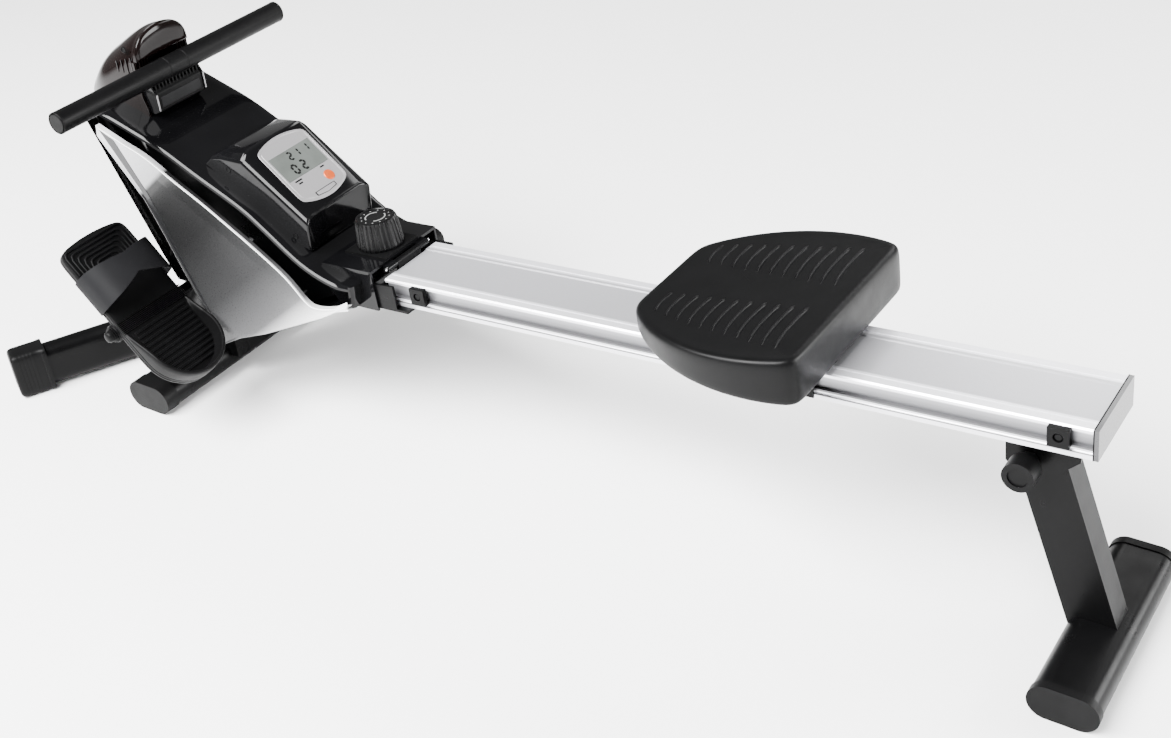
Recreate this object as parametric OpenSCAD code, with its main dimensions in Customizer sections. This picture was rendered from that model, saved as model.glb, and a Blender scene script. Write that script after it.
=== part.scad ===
// Magnetic rowing machine: strap drive housing, aluminium seat rail, rolling seat and folding rear leg.
// Millimetres. +X runs from the drive housing to the rear foot, +Z is up, the floor is z = 0.

/* [Overall] */
// Slope of the seat rail, rear end higher, in degrees
rail_tilt = 3.6; // [2:0.2:5]
// Length of the seat rail extrusion
rail_len = 1013; // [930:1:1215]
// Height of the rail's top face above the floor at its front end
rail_height = 290.4; // [286:0.2:296]
// Shift that centres the machine over the origin
centre_shift = -14; // [-30:1:10]

/* [Rail] */
// Width of the rail extrusion
rail_w = 120; // [112:1:124]
// Height of the rail extrusion
rail_h = 40; // [40:1:44]
// Wall of the rail extrusion
rail_wall = 4; // [3:0.5:5]
// Depth of the side groove
groove_d = 5; // [3:0.5:6]
// Side length of a stop block
stop_size = 25; // [20:1:28]
// Distance of the rear stop's centre from the rail's rear end
stop_rear = 36; // [30:1:60]
// Distance of the front stop's centre from the rail's front end
stop_front = 63; // [55:1:100]

/* [Seat] */
// Length of the seat pad
seat_len = 259; // [230:1:290]
// Half the greatest width of the seat pad
seat_half_w = 166; // [140:1:190]
// Radius of the seat's curved sides
seat_side_r = 222; // [200:1:300]
// Height of the seat's front edge above the rail
seat_top_front = 58; // [52:1:70]
// Height of the seat's rear edge above the rail
seat_top_rear = 70; // [60:1:84]
// Height of the seat's lower rim above the rail
seat_bottom = 8; // [6:1:12]
// Length of the carriage under the seat
carriage_len = 210; // [180:1:250]
// Radius of a running roller
roller_r = 15; // [12:0.5:16]
// Distance of the seat's centre from the rail's rear end at rest
seat_pos = 440; // [380:1:480]

/* [Drive] */
// Radius of the flywheel
flywheel_r = 92; // [70:1:94]
// Thickness of the flywheel
flywheel_t = 24; // [16:1:28]
// Radius of the strap drum
drum_r = 27; // [22:1:30]
// Width of the pull strap
strap_w = 34; // [24:1:36]
// Thickness of the pull strap
strap_t = 2; // [1.5:0.1:2.5]
// Radius of the reel's belt pulley
reel_pulley_r = 48; // [38:1:49]
// Radius of the flywheel's belt pulley
fly_pulley_r = 14; // [12:0.5:17]

/* [Handle] */
// Length of the handlebar
bar_len = 452; // [400:1:500]
// Outer radius of the grips
grip_r = 16.5; // [14:0.25:17]
// Outer radius of the bar tube
bar_r = 12.5; // [10:0.5:13]

/* [Housing] */
// Half width of the centre shell
shell_half_w = 98; // [92:1:104]
// Thickness of a side panel
panel_t = 8; // [5:1:10]
// Wall of the housing shells
shell_wall = 3; // [2:0.5:4]
// Half width of the hood
hood_half_w = 54; // [52:1:60]
// Half width of the console
console_half_w = 70; // [64:1:76]

/* [Stand] */
// Half length of one arm of the front stabilizer, measured along the bent tube
front_arm = 279; // [220:1:300]
// Angle by which each arm sweeps forward
front_sweep = 28; // [15:1:32]
// Height of the front stabilizer tube
front_tube_h = 74; // [60:1:80]
// Width of the front stabilizer tube
front_tube_w = 38; // [30:1:44]
// Length of the middle stabilizer
mid_len = 374; // [300:1:420]
// Length of the rear foot
foot_len = 302; // [260:1:360]
// Width of the oval foot tube
foot_w = 84; // [70:1:90]
// Height of the oval foot tube
foot_h = 46; // [40:1:50]

/* [Pedals] */
// Width of a foot plate
pedal_w = 122; // [110:1:126]
// Reach of the foot plate in front of the axle
pedal_toe = 140; // [120:1:150]
// Reach of the foot plate behind the axle
pedal_heel = 128; // [110:1:135]
// Slope of the foot plates at rest, in degrees
pedal_angle = 46; // [40:1:58]
// Radius of the pedal axle
axle_r = 8; // [7:0.5:9]

/* [Knobs] */
// Radius of the tension knob at its base
knob_r = 35; // [30:1:37]
// Height of the tension knob
knob_h = 44; // [36:1:48]
// Radius of the leg lock knob
leg_knob_r = 19.5; // [16:0.5:22]
// Radius of the fold lock knob
fold_knob_r = 16; // [13:0.5:18]

/* [Fits] */
// Radial clearance of a running shaft
run_fit = 0.05; // [0.02:0.01:0.1]
// Gap between parts that move past each other
gap = 0.4; // [0.3:0.1:0.8]

/* [Hidden] */
$fn = 64;

// The rail's front end stays at the housing, and its rear end follows from its length and tilt
rail_front_x = -176;
rail_rear_x = rail_front_x + rail_len * cos(rail_tilt);
rail_rear_z = rail_height + rail_len * sin(rail_tilt);

// Conversions from rail coordinates, measured from the rear end, to machine coordinates
function on_rail_x(u, w) = rail_rear_x + u * cos(rail_tilt) - w * sin(rail_tilt);
function on_rail_z(u, w) = rail_rear_z + u * sin(rail_tilt) + w * cos(rail_tilt);
module on_rail() {
    translate([rail_rear_x, 0, rail_rear_z]) rotate([0, -rail_tilt, 0]) children();
}
module machine() {
    translate([centre_shift, 0, 0]) children();
}

// Extrudes a side outline, drawn as [x, z] points, between two y values
module side_plate(points, y_low, y_high) {
    translate([0, y_high, 0]) rotate([90, 0, 0]) linear_extrude(y_high - y_low) polygon(points);
}
// Cylinder along Y between two y values, centred on [x, z]
module y_rod(x, z, r, y_low, y_high) {
    translate([x, y_high, z]) rotate([90, 0, 0]) cylinder(r = r, h = y_high - y_low);
}
// Box given by its lowest and highest corners
module span(low, high) {
    translate(low) cube(high - low);
}
module both_sides() {
    children();
    mirror([0, 1, 0]) children();
}
// Oval section bar along Y, centred on [x, z]
module oval_bar(x, z, w, h, y_low, y_high) {
    r = h / 2;
    y_rod(x - w / 2 + r, z, r, y_low, y_high);
    y_rod(x + w / 2 - r, z, r, y_low, y_high);
    span([x - w / 2 + r, y_low, z - r], [x + w / 2 - r, y_high, z + r]);
}
// Hexagon along Y
module y_hex(x, z, r, y_low, y_high) {
    translate([x, y_high, z]) rotate([90, 0, 0]) linear_extrude(y_high - y_low) circle(r = r, $fn = 6);
}

// Places of the stand's tubes along X
front_apex = -727;
mid_x = -620;

// Places of the drive parts, as [x, z]
axle_at = [-580, 190];
flywheel_at = [-470, 264];
reel_at = [-606, 403];
guide_at = [-630, 516];
bar_at = [-590, 528.5];
magnet_at = [-372, 204];
guide_r = 10.5;
plate_in = 36;
plate_t = 4;
plate_out = plate_in + plate_t;
flywheel_shaft_r = 7.5;
reel_shaft_r = 7.5;
guide_shaft_r = 4;
pulley_low = 18;
pulley_high = 31;

// Places on the rail, along it and above its top face
rail_front = -rail_len;
hinge_u = rail_front - 6;
hinge_w = 7;
hinge_r = 5;
hinge_pin_r = 2.5;
pin_u = rail_front - 39;
pin_w = -20;
pin_r = 5;
bracket_in = 71.5;
bracket_t = 3.5;
bracket_out = bracket_in + bracket_t;
bracket_top = 16;
rim_u = rail_front - 11;
shoe_t = 4;
knob_u = rail_front - 52;
knob_plate_t = 3;
front_stop_u = rail_front + stop_front;
rear_stop_u = -stop_rear;
seat_u = -seat_pos;
roller_u = carriage_len / 2 - 30;
guide_front_u = -58;
guide_rear_u = carriage_len / 2 - 14;
side_plate_in = rail_w / 2 + 2.6;
side_plate_t = 3;
carriage_top = 2 * roller_r + 4;
carriage_t = 3;
roller_in = rail_w / 2 - 13;
roller_out = rail_w / 2 - 2.5;
guide_roller_r = 9.6;
groove_mid = -15;
leg_u = -82;
leg_w = -83;
leg_in = 20;
leg_wall = 3;
cheek_t = 4;
foot_u = 4;
leg_drop = rail_rear_z - 24;

// ---------------------------------------------------------------- frame and stand

module main_frame() color("dimgray") {
    web = [[-648, 529], [-619, 529], [-619, 457], [-560, 430], [-430, 362], [-350, 312], [-300, 284],
        [-266, 266], [-266, 238], [-330, 207], [-420, 162], [-500, 127], [-508, 127], [-548, 214],
        [-562, 214], [-562, 150], [-602, 150], [-602, 222], [-652, 400], [-655, 500]];
    difference() {
        union() {
            both_sides() side_plate(web, plate_in, plate_out);
            span([-612, -plate_in, 30], [-564, plate_in, 216]);
            span([-300, -plate_in, 240], [-272, plate_in, 262]);
            span([-276, -bracket_in, 246], [-268, bracket_in, 280]);
            span([-700, -30, 16], [-640, 30, 46]);
        }
        oval_bar(mid_x, foot_h / 2 + 2, foot_w, foot_h, -60, 60);
        span([-608, -plate_in + leg_wall, 52], [-568, plate_in - leg_wall, 217]);
        y_rod(axle_at[0], axle_at[1], axle_r, -60, 60);
        y_rod(flywheel_at[0], flywheel_at[1], 16, -60, 60);
        y_rod(reel_at[0], reel_at[1], reel_shaft_r, -60, 60);
        y_rod(guide_at[0], guide_at[1], guide_shaft_r, -60, 60);
        y_rod(magnet_at[0], magnet_at[1], guide_shaft_r, -60, 60);
    }
}

module pedal_axle() color("silver") {
    y_rod(axle_at[0], axle_at[1], axle_r, -252, 252);
}

module axle_nuts() color("silver") both_sides() {
    difference() {
        union() {
            y_hex(axle_at[0], axle_at[1], 13, 246.5, 254);
            y_rod(axle_at[0], axle_at[1], 11, 254, 257);
        }
        y_rod(axle_at[0], axle_at[1], axle_r, 240, 252);
    }
}

// One arm of upright oval tube along +Y from the apex
module upright_oval(w, h, y_low, y_high) {
    r = w / 2;
    translate([0, y_low, h / 2 - r]) rotate([-90, 0, 0]) cylinder(r = r, h = y_high - y_low);
    translate([0, y_low, r - h / 2]) rotate([-90, 0, 0]) cylinder(r = r, h = y_high - y_low);
    span([-r, y_low, r - h / 2], [r, y_high, h / 2 - r]);
}
module front_arm_pair() {
    for (side = [0, 1]) mirror([0, side, 0])
        translate([front_apex, 0, front_tube_h / 2 + 4]) rotate([0, 0, front_sweep]) children();
}
module front_stabilizer() color("black") {
    wall = 2.5;
    difference() {
        front_arm_pair() upright_oval(front_tube_w, front_tube_h, -4, front_arm - 16);
        front_arm_pair() upright_oval(front_tube_w - 2 * wall, front_tube_h - 2 * wall, 60, front_arm);
    }
    span([front_apex, -30, 16], [front_apex + 27, 30, 46]);
}

module front_stabilizer_caps() color("black") {
    skin = 3;
    sleeve = 44;
    front_arm_pair() difference() {
        union() {
            upright_oval(front_tube_w + 2 * skin, front_tube_h + 2 * skin, front_arm - sleeve, front_arm);
            span([-15, front_arm - sleeve, -front_tube_h / 2 - 4], [15, front_arm - 6, -front_tube_h / 2]);
        }
        upright_oval(front_tube_w, front_tube_h, front_arm - sleeve - 1, front_arm - 8);
    }
}

module middle_stabilizer() color("black") difference() {
    oval_bar(mid_x, foot_h / 2 + 2, foot_w, foot_h, -mid_len / 2 + 6, mid_len / 2 - 6);
    both_sides() oval_bar(mid_x, foot_h / 2 + 2, foot_w - 5, foot_h - 5, 50, mid_len / 2);
}

module oval_caps(x, length, lip) {
    both_sides() difference() {
        union() {
            oval_bar(x, foot_h / 2 + 2, foot_w + 3, foot_h + 3, length / 2 - lip, length / 2);
            span([x - 22, length / 2 - lip - 6, 0], [x + 22, length / 2 - 2, 6]);
        }
        oval_bar(x, foot_h / 2 + 2, foot_w, foot_h, length / 2 - lip - 7, length / 2 - 6);
    }
}
module middle_stabilizer_caps() color("black") oval_caps(mid_x, mid_len, 26);

// ---------------------------------------------------------------- rail bracket, hinge and knob plate

module rail_bracket() color("black") on_rail() {
    cheek = [[rim_u, bracket_top], [rim_u, -47], [rim_u - 75, -46], [rim_u - 93, -20], [rim_u - 93, bracket_top]];
    difference() {
        union() {
            both_sides() side_plate(cheek, bracket_in, bracket_out);
            span([rim_u - 93, -bracket_out, 12], [rim_u, bracket_out, bracket_top]);
        }
        y_rod(pin_u, pin_w, pin_r + run_fit, -80, 80);
    }
    difference() {
        both_sides() {
            y_rod(hinge_u, hinge_w, hinge_r, 26, 46);
            span([rim_u - 2, 26, hinge_w], [hinge_u, 46, hinge_w + hinge_r]);
        }
        y_rod(hinge_u, hinge_w, hinge_pin_r, -60, 60);
    }
}

module hinge_pin() color("silver") on_rail() y_rod(hinge_u, hinge_w, hinge_pin_r, -50, 50);

module knob_plate() color("black") on_rail() difference() {
    span([knob_u - 38, -38, bracket_top], [knob_u + 38, 38, bracket_top + knob_plate_t]);
    translate([knob_u, 0, bracket_top - 1]) cylinder(r = 6 + run_fit, h = 8);
}

module tension_knob() color("black") on_rail() {
    base = bracket_top + knob_plate_t + gap;
    translate([knob_u, 0, base]) difference() {
        cylinder(r1 = knob_r, r2 = knob_r - 4, h = knob_h);
        translate([0, 0, knob_h - 2]) cylinder(r = knob_r - 9, h = 3);
        for (rib = [0 : 15]) rotate([0, 0, rib * 22.5])
            translate([knob_r + 1, 0, -1]) cylinder(r = 3, h = knob_h - 3);
    }
    translate([knob_u, 0, bracket_top + 0.3]) cylinder(r = 6, h = 6);
}

module fold_lock_knob() color("black") on_rail() {
    head_y = shell_half_w - 12;
    y_rod(pin_u, pin_w, pin_r, 66, 78);
    y_rod(pin_u, pin_w, 9, bracket_out + gap, head_y);
    y_rod(pin_u, pin_w, fold_knob_r, head_y, head_y + 16);
}

// ---------------------------------------------------------------- housing shells

// Side outline of the centre shell, and the same outline moved inwards by d
top_line = [[-207, 287], [-246, 286], [-300, 305], [-361, 348], [-402, 375], [-483, 412], [-542, 440],
    [-595, 458], [-657, 477], [-696, 481]];
front_line = [[-733, 476], [-745, 458], [-738, 430], [-690, 330], [-641, 218]];
base_line = [[-585, 205], [-549, 205], [-506, 112], [-404, 159], [-271, 224], [-212, 250]];
function unit(v) = v / norm(v);
function normal(a, b) = let (d = unit(b - a)) [-d[1], d[0]];
function inset(p, d) = [for (i = [0 : len(p) - 1])
    let (n = len(p), a = normal(p[(i + n - 1) % n], p[i]), b = normal(p[i], p[(i + 1) % n]))
    p[i] + d * (a + b) / (1 + a * b)];
shell_outline = concat(top_line, front_line, base_line);

// Rounds the nose in plan: a drum that leans with the front of the housing
nose_r = 129;
nose_lean = 24.5;
nose_reach = 46;
module nose_rounding(shrink) {
    span([-640, -160, 60], [-150, 160, 560]);
    translate([-640, 0, 330]) rotate([0, -nose_lean, 0]) translate([nose_r - nose_reach, 0, -400])
        cylinder(r = nose_r - shrink, h = 800);
}
// Round well in the housing's tail for the fold lock knob
module knob_passage() {
    on_rail() y_rod(pin_u, pin_w, fold_knob_r + 1.5, bracket_out, shell_half_w + panel_t + 1);
}
module centre_shell() color("black") {
    inner = shell_half_w - shell_wall;
    difference() {
        intersection() {
            side_plate(shell_outline, -shell_half_w, shell_half_w);
            nose_rounding(0);
        }
        intersection() {
            side_plate(inset(shell_outline, shell_wall), -inner, inner);
            nose_rounding(shell_wall);
        }
        side_plate(console_case_outline, -console_half_w, console_half_w);
        span([-700, -plate_out - 6, 440], [-600, plate_out + 6, 520]);
        span([-282, -bracket_out - gap, 150], [-150, bracket_out + gap, 400]);
        span([-320, -inner, 150], [-150, inner, 232]);
        span([-616, -plate_out - 4, 120], [-530, plate_out + 4, 222]);
        knob_passage();
    }
}

panel_outline = [[-671, 459], [-681, 441], [-604, 347], [-581, 295], [-547, 210], [-506, 112], [-404, 159],
    [-332, 194], [-271, 224], [-212, 259], [-251, 244], [-280, 238], [-298, 245], [-330, 279],
    [-381, 314], [-434, 346], [-477, 371], [-523, 395], [-576, 424.5], [-620, 440]];
module side_panel() {
    side_plate(panel_outline, shell_half_w, shell_half_w + panel_t);
}
module side_panel_near() color("silver") mirror([0, 1, 0]) side_panel();
module side_panel_far() color("silver") difference() {
    side_panel();
    knob_passage();
}

hood_outline = [[-606.8, 600], [-606.8, 546], [-612, 540], [-612, 490], [-604, 470], [-606, 455],
    [-650, 465], [-700, 470], [-735, 468], [-752, 484], [-745, 505], [-727, 525], [-705, 545],
    [-670, 567], [-640, 585]];
module hood() color("black") {
    inner = 4;
    difference() {
        intersection() {
            side_plate(hood_outline, -hood_half_w, hood_half_w);
            translate([-800, 0, 446]) rotate([0, 90, 0]) cylinder(r = 156, h = 300, $fn = 96);
        }
        side_plate(shell_outline, -shell_half_w, shell_half_w);
        side_plate([[-600, 540], [-616, 545], [-640, 572], [-670, 556], [-705, 534], [-735, 508],
            [-735, 470], [-600, 440]], -hood_half_w + inner + 2, hood_half_w - inner - 2);
        for (s = [0 : 3]) span([-660 + 9 * s, -60, 520], [-657 + 9 * s, -hood_half_w + 1, 552 + 4 * s]);
        for (s = [0 : 3]) span([-660 + 9 * s, hood_half_w - 1, 520], [-657 + 9 * s, 60, 552 + 4 * s]);
        y_rod(-630, 566, 4, -60, -hood_half_w + 3);
        y_rod(-630, 566, 4, hood_half_w - 3, 60);
    }
}

module handle_rest() color("dimgray") {
    difference() {
        side_plate([[-613, 464], [-613, 510], [-592, 510], [-588, 500], [-588, 470], [-598, 464]],
            -hood_half_w + 8, hood_half_w - 8);
        for (t = [0 : 11]) span([-614, -42.5 + 7 * t, 506], [-587, -39 + 7 * t, 512]);
    }
    both_sides() side_plate([[-618, 470], [-618, 508], [-592, 509], [-587, 480], [-596, 470]],
        hood_half_w - 8, hood_half_w - 6);
}

// ---------------------------------------------------------------- console

face_a = [-384.3, 426.1];
face_dir = unit([35.6, -28.5]);
face_tilt = atan2(28.5, 35.6);
module on_face() {
    translate([face_a[0], 0, face_a[1]]) rotate([0, face_tilt, 0]) children();
}
console_case_outline = [[-491, 414], [-474, 430], [-421, 449.5], [-409, 445], [-304, 361.4], [-299, 350],
    [-302, 308], [-333, 316], [-419, 375]];
module console_case() color("black") {
    side = console_half_w;
    difference() {
        union() {
            side_plate(console_case_outline, -side + 11, side - 11);
            side_plate([for (p = console_case_outline) [p[0], min(p[1], 440 - 0.68 * max(0, p[0] + 418))]],
                -side, side);
        }
        side_plate([[-478, 417], [-424, 441], [-412, 440], [-308, 357], [-308, 316], [-333, 322], [-419, 381]],
            -side + 14, side - 14);
        on_face() span([-26, -50, -3], [92, 50, 12]);
        on_face() translate([66, 23, -20]) cylinder(r = 9.5, h = 30);
        y_rod(-440, 414, 3.5, -side - 1, -side + 4);
        y_rod(-328, 330, 3.5, -side - 1, -side + 4);
    }
}

module console_bezel() color("lightgray") on_face() difference() {
    intersection() {
        span([-26, -50, -3], [92, 50, 0.6]);
        translate([50, 0, -10]) cylinder(r = 78, h = 20);
        translate([20, 0, -10]) cylinder(r = 76, h = 20);
    }
    span([0, -42, -4], [45.6, 42, 2]);
    translate([66, 23, -10]) cylinder(r = 9.5, h = 20);
}

module console_screen() color("darkgray") on_face() span([0, -42, -3], [45.6, 42, 0]);

module circuit_board() color("green") on_face() {
    span([-22, -48, -12], [86, 48, -10.4]);
    span([0, -40, -10.4], [45, 40, -6.6]);
}

module console_button() color("orange") on_face() {
    translate([66, 23, -5]) cylinder(r = 9.1, h = 8);
}

// ---------------------------------------------------------------- drive train and brake

module flywheel_axle() color("silver") y_rod(flywheel_at[0], flywheel_at[1], flywheel_shaft_r, -48, 48);

module flywheel_bearings() color("silver") both_sides() difference() {
    y_rod(flywheel_at[0], flywheel_at[1], 16, plate_in - 3, plate_out + 3);
    y_rod(flywheel_at[0], flywheel_at[1], flywheel_shaft_r, plate_in - 4, plate_out + 4);
}

module flywheel() color("gray") {
    x = flywheel_at[0];
    z = flywheel_at[1];
    half = flywheel_t / 2;
    difference() {
        union() {
            y_rod(x, z, flywheel_r, -half, half);
            y_rod(x, z, 18, -half - 3, half + 1);
        }
        y_rod(x, z, flywheel_shaft_r + run_fit, -40, 40);
        both_sides() difference() {
            y_rod(x, z, flywheel_r - 14, 5, 20);
            y_rod(x, z, 22, 4, 21);
        }
    }
}

module flywheel_pulley() color("silver") {
    x = flywheel_at[0];
    z = flywheel_at[1];
    difference() {
        union() {
            y_rod(x, z, fly_pulley_r, flywheel_t / 2 + 1.5, pulley_high);
            y_rod(x, z, fly_pulley_r + 4, pulley_high - 1, pulley_high + 1);
            y_rod(x, z, fly_pulley_r + 4, pulley_low - 4, pulley_low - 2);
        }
        y_rod(x, z, flywheel_shaft_r + run_fit, 0, 40);
    }
}

module reel_axle() color("silver") y_rod(reel_at[0], reel_at[1], reel_shaft_r, -44, 44);

module strap_reel() color("dimgray") difference() {
    union() {
        y_rod(reel_at[0], reel_at[1], drum_r, -strap_w / 2, pulley_high);
        y_rod(reel_at[0], reel_at[1], drum_r + 14, -strap_w / 2 - 3, -strap_w / 2);
        y_rod(reel_at[0], reel_at[1], reel_pulley_r, pulley_low, pulley_high);
    }
    y_rod(reel_at[0], reel_at[1], reel_shaft_r + run_fit, -40, 40);
    y_rod(reel_at[0], reel_at[1], drum_r - 4, -strap_w / 2 - 4, -4);
}

// Flat coil spring inside the drum, wound out from the reel axle
spring_turns = 4;
spring_pitch = 3;
spring_steps = 20;
function spring_point(k, grow) = let (a = k * 360 / spring_steps)
    (reel_shaft_r + grow + spring_pitch * k / spring_steps) * [cos(a), sin(a)];
module recoil_spring() color("gray") translate([reel_at[0], -7, reel_at[1]]) rotate([90, 0, 0])
    linear_extrude(8) polygon(concat(
        [for (k = [0 : spring_turns * spring_steps]) spring_point(k, 1)],
        [for (k = [spring_turns * spring_steps : -1 : 0]) spring_point(k, 0.2)]));

module belt_loop(grow, y_low, y_high) {
    hull() {
        y_rod(reel_at[0], reel_at[1], reel_pulley_r + grow, y_low, y_high);
        y_rod(flywheel_at[0], flywheel_at[1], fly_pulley_r + grow, y_low, y_high);
    }
}
module drive_belt() color("black") {
    difference() {
        belt_loop(gap + 2, pulley_low + 1, pulley_high - 2);
        belt_loop(gap, pulley_low, pulley_high);
    }
}

// Two equal pins: the guide roller's axle and the magnet arm's pivot
module cross_pins() color("silver") for (at = [guide_at, magnet_at])
    y_rod(at[0], at[1], guide_shaft_r, -44, 44);

module guide_roller() color("gray") difference() {
    union() {
        y_rod(guide_at[0], guide_at[1], guide_r, -24, 24);
        both_sides() y_rod(guide_at[0], guide_at[1], guide_r + 5, 22, 24);
    }
    y_rod(guide_at[0], guide_at[1], guide_shaft_r + run_fit, -30, 30);
}

magnet_gap = 12;
magnet_t = 6;
module magnet_arm() color("gray") {
    arc_in = flywheel_r + magnet_gap + magnet_t;
    sector = concat([flywheel_at], [for (a = [-36 : 18 : 18]) flywheel_at + 160 * [cos(a), sin(a)]]);
    difference() {
        union() {
            intersection() {
                difference() {
                    y_rod(flywheel_at[0], flywheel_at[1], arc_in + 4, -16, 16);
                    y_rod(flywheel_at[0], flywheel_at[1], arc_in, -17, 17);
                }
                side_plate(sector, -17, 17);
            }
            y_rod(magnet_at[0], magnet_at[1], 9, -16, 16);
        }
        y_rod(magnet_at[0], magnet_at[1], guide_shaft_r + run_fit, -20, 20);
    }
}
module brake_magnets() color("silver") intersection() {
    for (angle = [-16, -2, 12]) translate([flywheel_at[0], 0, flywheel_at[1]]) rotate([0, -angle, 0])
        span([flywheel_r + magnet_gap, -11, -8], [flywheel_r + magnet_gap + magnet_t + 2, 11, 8]);
    y_rod(flywheel_at[0], flywheel_at[1], flywheel_r + magnet_gap + magnet_t, -20, 20);
}
// Wire from under the knob to the magnet arm
module tension_cable() color("black") {
    start = [on_rail_x(knob_u, -8), on_rail_z(knob_u, -8)];
    along = [-350, 289] - start;
    translate([start[0], 0, start[1]]) rotate([0, atan2(along[0], along[1]), 0])
        cylinder(r = 1.6, h = norm(along));
}

// ---------------------------------------------------------------- handle and strap

// Strap from the reel's rear side up over the guide roller and out to the handle
strap_gap = 0.3;
module pull_strap() color("dimgray") {
    half = strap_w / 2;
    top = guide_at[1] + guide_r + strap_gap;
    left = guide_at[0] - guide_r - strap_gap;
    span([guide_at[0], -half, top], [bar_at[0] - grip_r - 0.1, half, top + strap_t]);
    difference() {
        y_rod(guide_at[0], guide_at[1], guide_r + strap_gap + strap_t, -half, half);
        y_rod(guide_at[0], guide_at[1], guide_r + strap_gap, -half - 1, half + 1);
        span([guide_at[0], -half - 1, guide_at[1] - 40], [guide_at[0] + 40, half + 1, guide_at[1] + 40]);
        span([guide_at[0] - 40, -half - 1, guide_at[1] - 40], [guide_at[0] + 1, half + 1, guide_at[1]]);
    }
    side_plate([[left - strap_t, guide_at[1]], [left, guide_at[1]],
        [reel_at[0] - drum_r - strap_gap, reel_at[1]], [reel_at[0] - drum_r - strap_gap - strap_t, reel_at[1]]],
        -half, half);
}

module handle_tube() color("black") difference() {
    y_rod(bar_at[0], bar_at[1], bar_r, -bar_len / 2 + 3, bar_len / 2 - 3);
    both_sides() y_rod(bar_at[0], bar_at[1], bar_r - 2, 22, bar_len / 2);
}
module handle_sleeve() color("black") difference() {
    y_rod(bar_at[0], bar_at[1], grip_r, -17.5, 17.5);
    y_rod(bar_at[0], bar_at[1], bar_r, -20, 20);
}
module handle_grips() color("black") both_sides() difference() {
    y_rod(bar_at[0], bar_at[1], grip_r - 0.3, 18, bar_len / 2 - 3);
    y_rod(bar_at[0], bar_at[1], bar_r, 17, bar_len / 2);
}
module handle_end_plugs() color("black") both_sides() {
    y_rod(bar_at[0], bar_at[1], grip_r - 1, bar_len / 2 - 3, bar_len / 2);
    y_rod(bar_at[0], bar_at[1], bar_r - 2, bar_len / 2 - 24, bar_len / 2 - 2);
}

// ---------------------------------------------------------------- pedals

pedal_in = shell_half_w + panel_t + 12;
pedal_out = pedal_in + pedal_w;
pedal_t = 16;
boss_r = 15;
// Foot plate lying flat, with +X towards the heel and the axle at the origin
module foot_plate_flat() {
    mid = (pedal_in + pedal_out) / 2;
    half = pedal_w / 2;
    lift = 8;
    difference() {
        union() {
            intersection() {
                translate([0, 0, lift]) union() {
                    span([-pedal_toe, pedal_in, 0], [pedal_heel - half, pedal_out, pedal_t]);
                    translate([pedal_heel - half, mid, 0]) cylinder(r = half, h = pedal_t);
                }
                translate([-pedal_toe + 160, mid, -20]) cylinder(r = 172, h = 90);
            }
            difference() {
                translate([0, 0, lift]) union() {
                    translate([pedal_heel - half, mid, 0]) cylinder(r = half, h = 38);
                    span([10, pedal_in, 0], [pedal_heel - half, pedal_out, 38]);
                }
                translate([pedal_heel - half, mid, lift + pedal_t]) cylinder(r = half - 5, h = 50);
                span([-20, pedal_in + 5, lift + pedal_t], [pedal_heel - half, pedal_out - 5, 90]);
                translate([8, 0, lift + pedal_t]) rotate([0, -22, 0]) span([-150, 0, 0], [300, 400, 90]);
            }
            y_rod(0, 0, boss_r, pedal_in, pedal_out);
        }
        y_rod(0, 0, axle_r + run_fit, pedal_in - 1, pedal_out + 1);
        for (rib = [0 : 8]) span([22 + 9 * rib, pedal_in + 16, lift + pedal_t - 2.5],
            [26 + 9 * rib, pedal_out - 16, lift + pedal_t + 1]);
    }
}
module foot_strap_flat() {
    mid = (pedal_in + pedal_out) / 2;
    half = pedal_w / 2 + 5;
    crown = 46;
    strap = 2.5;
    r = (crown * crown + half * half) / (2 * crown);
    intersection() {
        difference() {
            translate([-92, mid, 20 + crown - r]) rotate([0, 90, 0]) cylinder(r = r, h = 62, $fn = 96);
            translate([-93, mid, 20 + crown - r]) rotate([0, 90, 0]) cylinder(r = r - strap, h = 64, $fn = 96);
        }
        span([-100, mid - half, 14], [0, mid + half, 90]);
    }
    for (side = [-1, 1])
        translate([0, mid + side * (pedal_w + 5) / 2, 0]) span([-92, -2.5, 14], [-30, 2.5, 21]);
}
module pedal_side() {
    translate([axle_at[0], 0, axle_at[1]]) rotate([0, pedal_angle, 0]) children();
}
module foot_plate_near() color("black") mirror([0, 1, 0]) pedal_side() foot_plate_flat();
module foot_plate_far() color("black") pedal_side() foot_plate_flat();
module foot_strap_near() color("dimgray") mirror([0, 1, 0]) pedal_side() foot_strap_flat();
module foot_strap_far() color("dimgray") pedal_side() foot_strap_flat();

// ---------------------------------------------------------------- rail

// Right half of the rail's section as [y, z] points, from the top centre to the bottom
half_w = rail_w / 2;
rail_half = [[0, -1.2], [half_w - 26, -1.2], [half_w - 24, 0], [half_w - 15.5, 0], [half_w - 15, -1],
    [half_w - 14, -1], [half_w - 13.5, 0], [half_w - 2, 0], [half_w, -2], [half_w, -5],
    [half_w - groove_d, -5.01], [half_w - groove_d, -24.99], [half_w, -25], [half_w, -29],
    [half_w - 1.5, -31], [half_w, -33], [half_w, -rail_h]];
module rail_section() {
    mirrored = [for (i = [len(rail_half) - 1 : -1 : 1]) [-rail_half[i][0], rail_half[i][1]]];
    inner = half_w - groove_d - rail_wall;
    difference() {
        polygon(concat(rail_half, mirrored));
        translate([-inner, rail_wall - rail_h]) square([2 * inner, rail_h - 2 * rail_wall - 1.2]);
    }
}
module rail() color("gainsboro") on_rail()
    translate([rail_front, 0, 0]) rotate([90, 0, 90]) linear_extrude(rail_len) rail_section();

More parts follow.
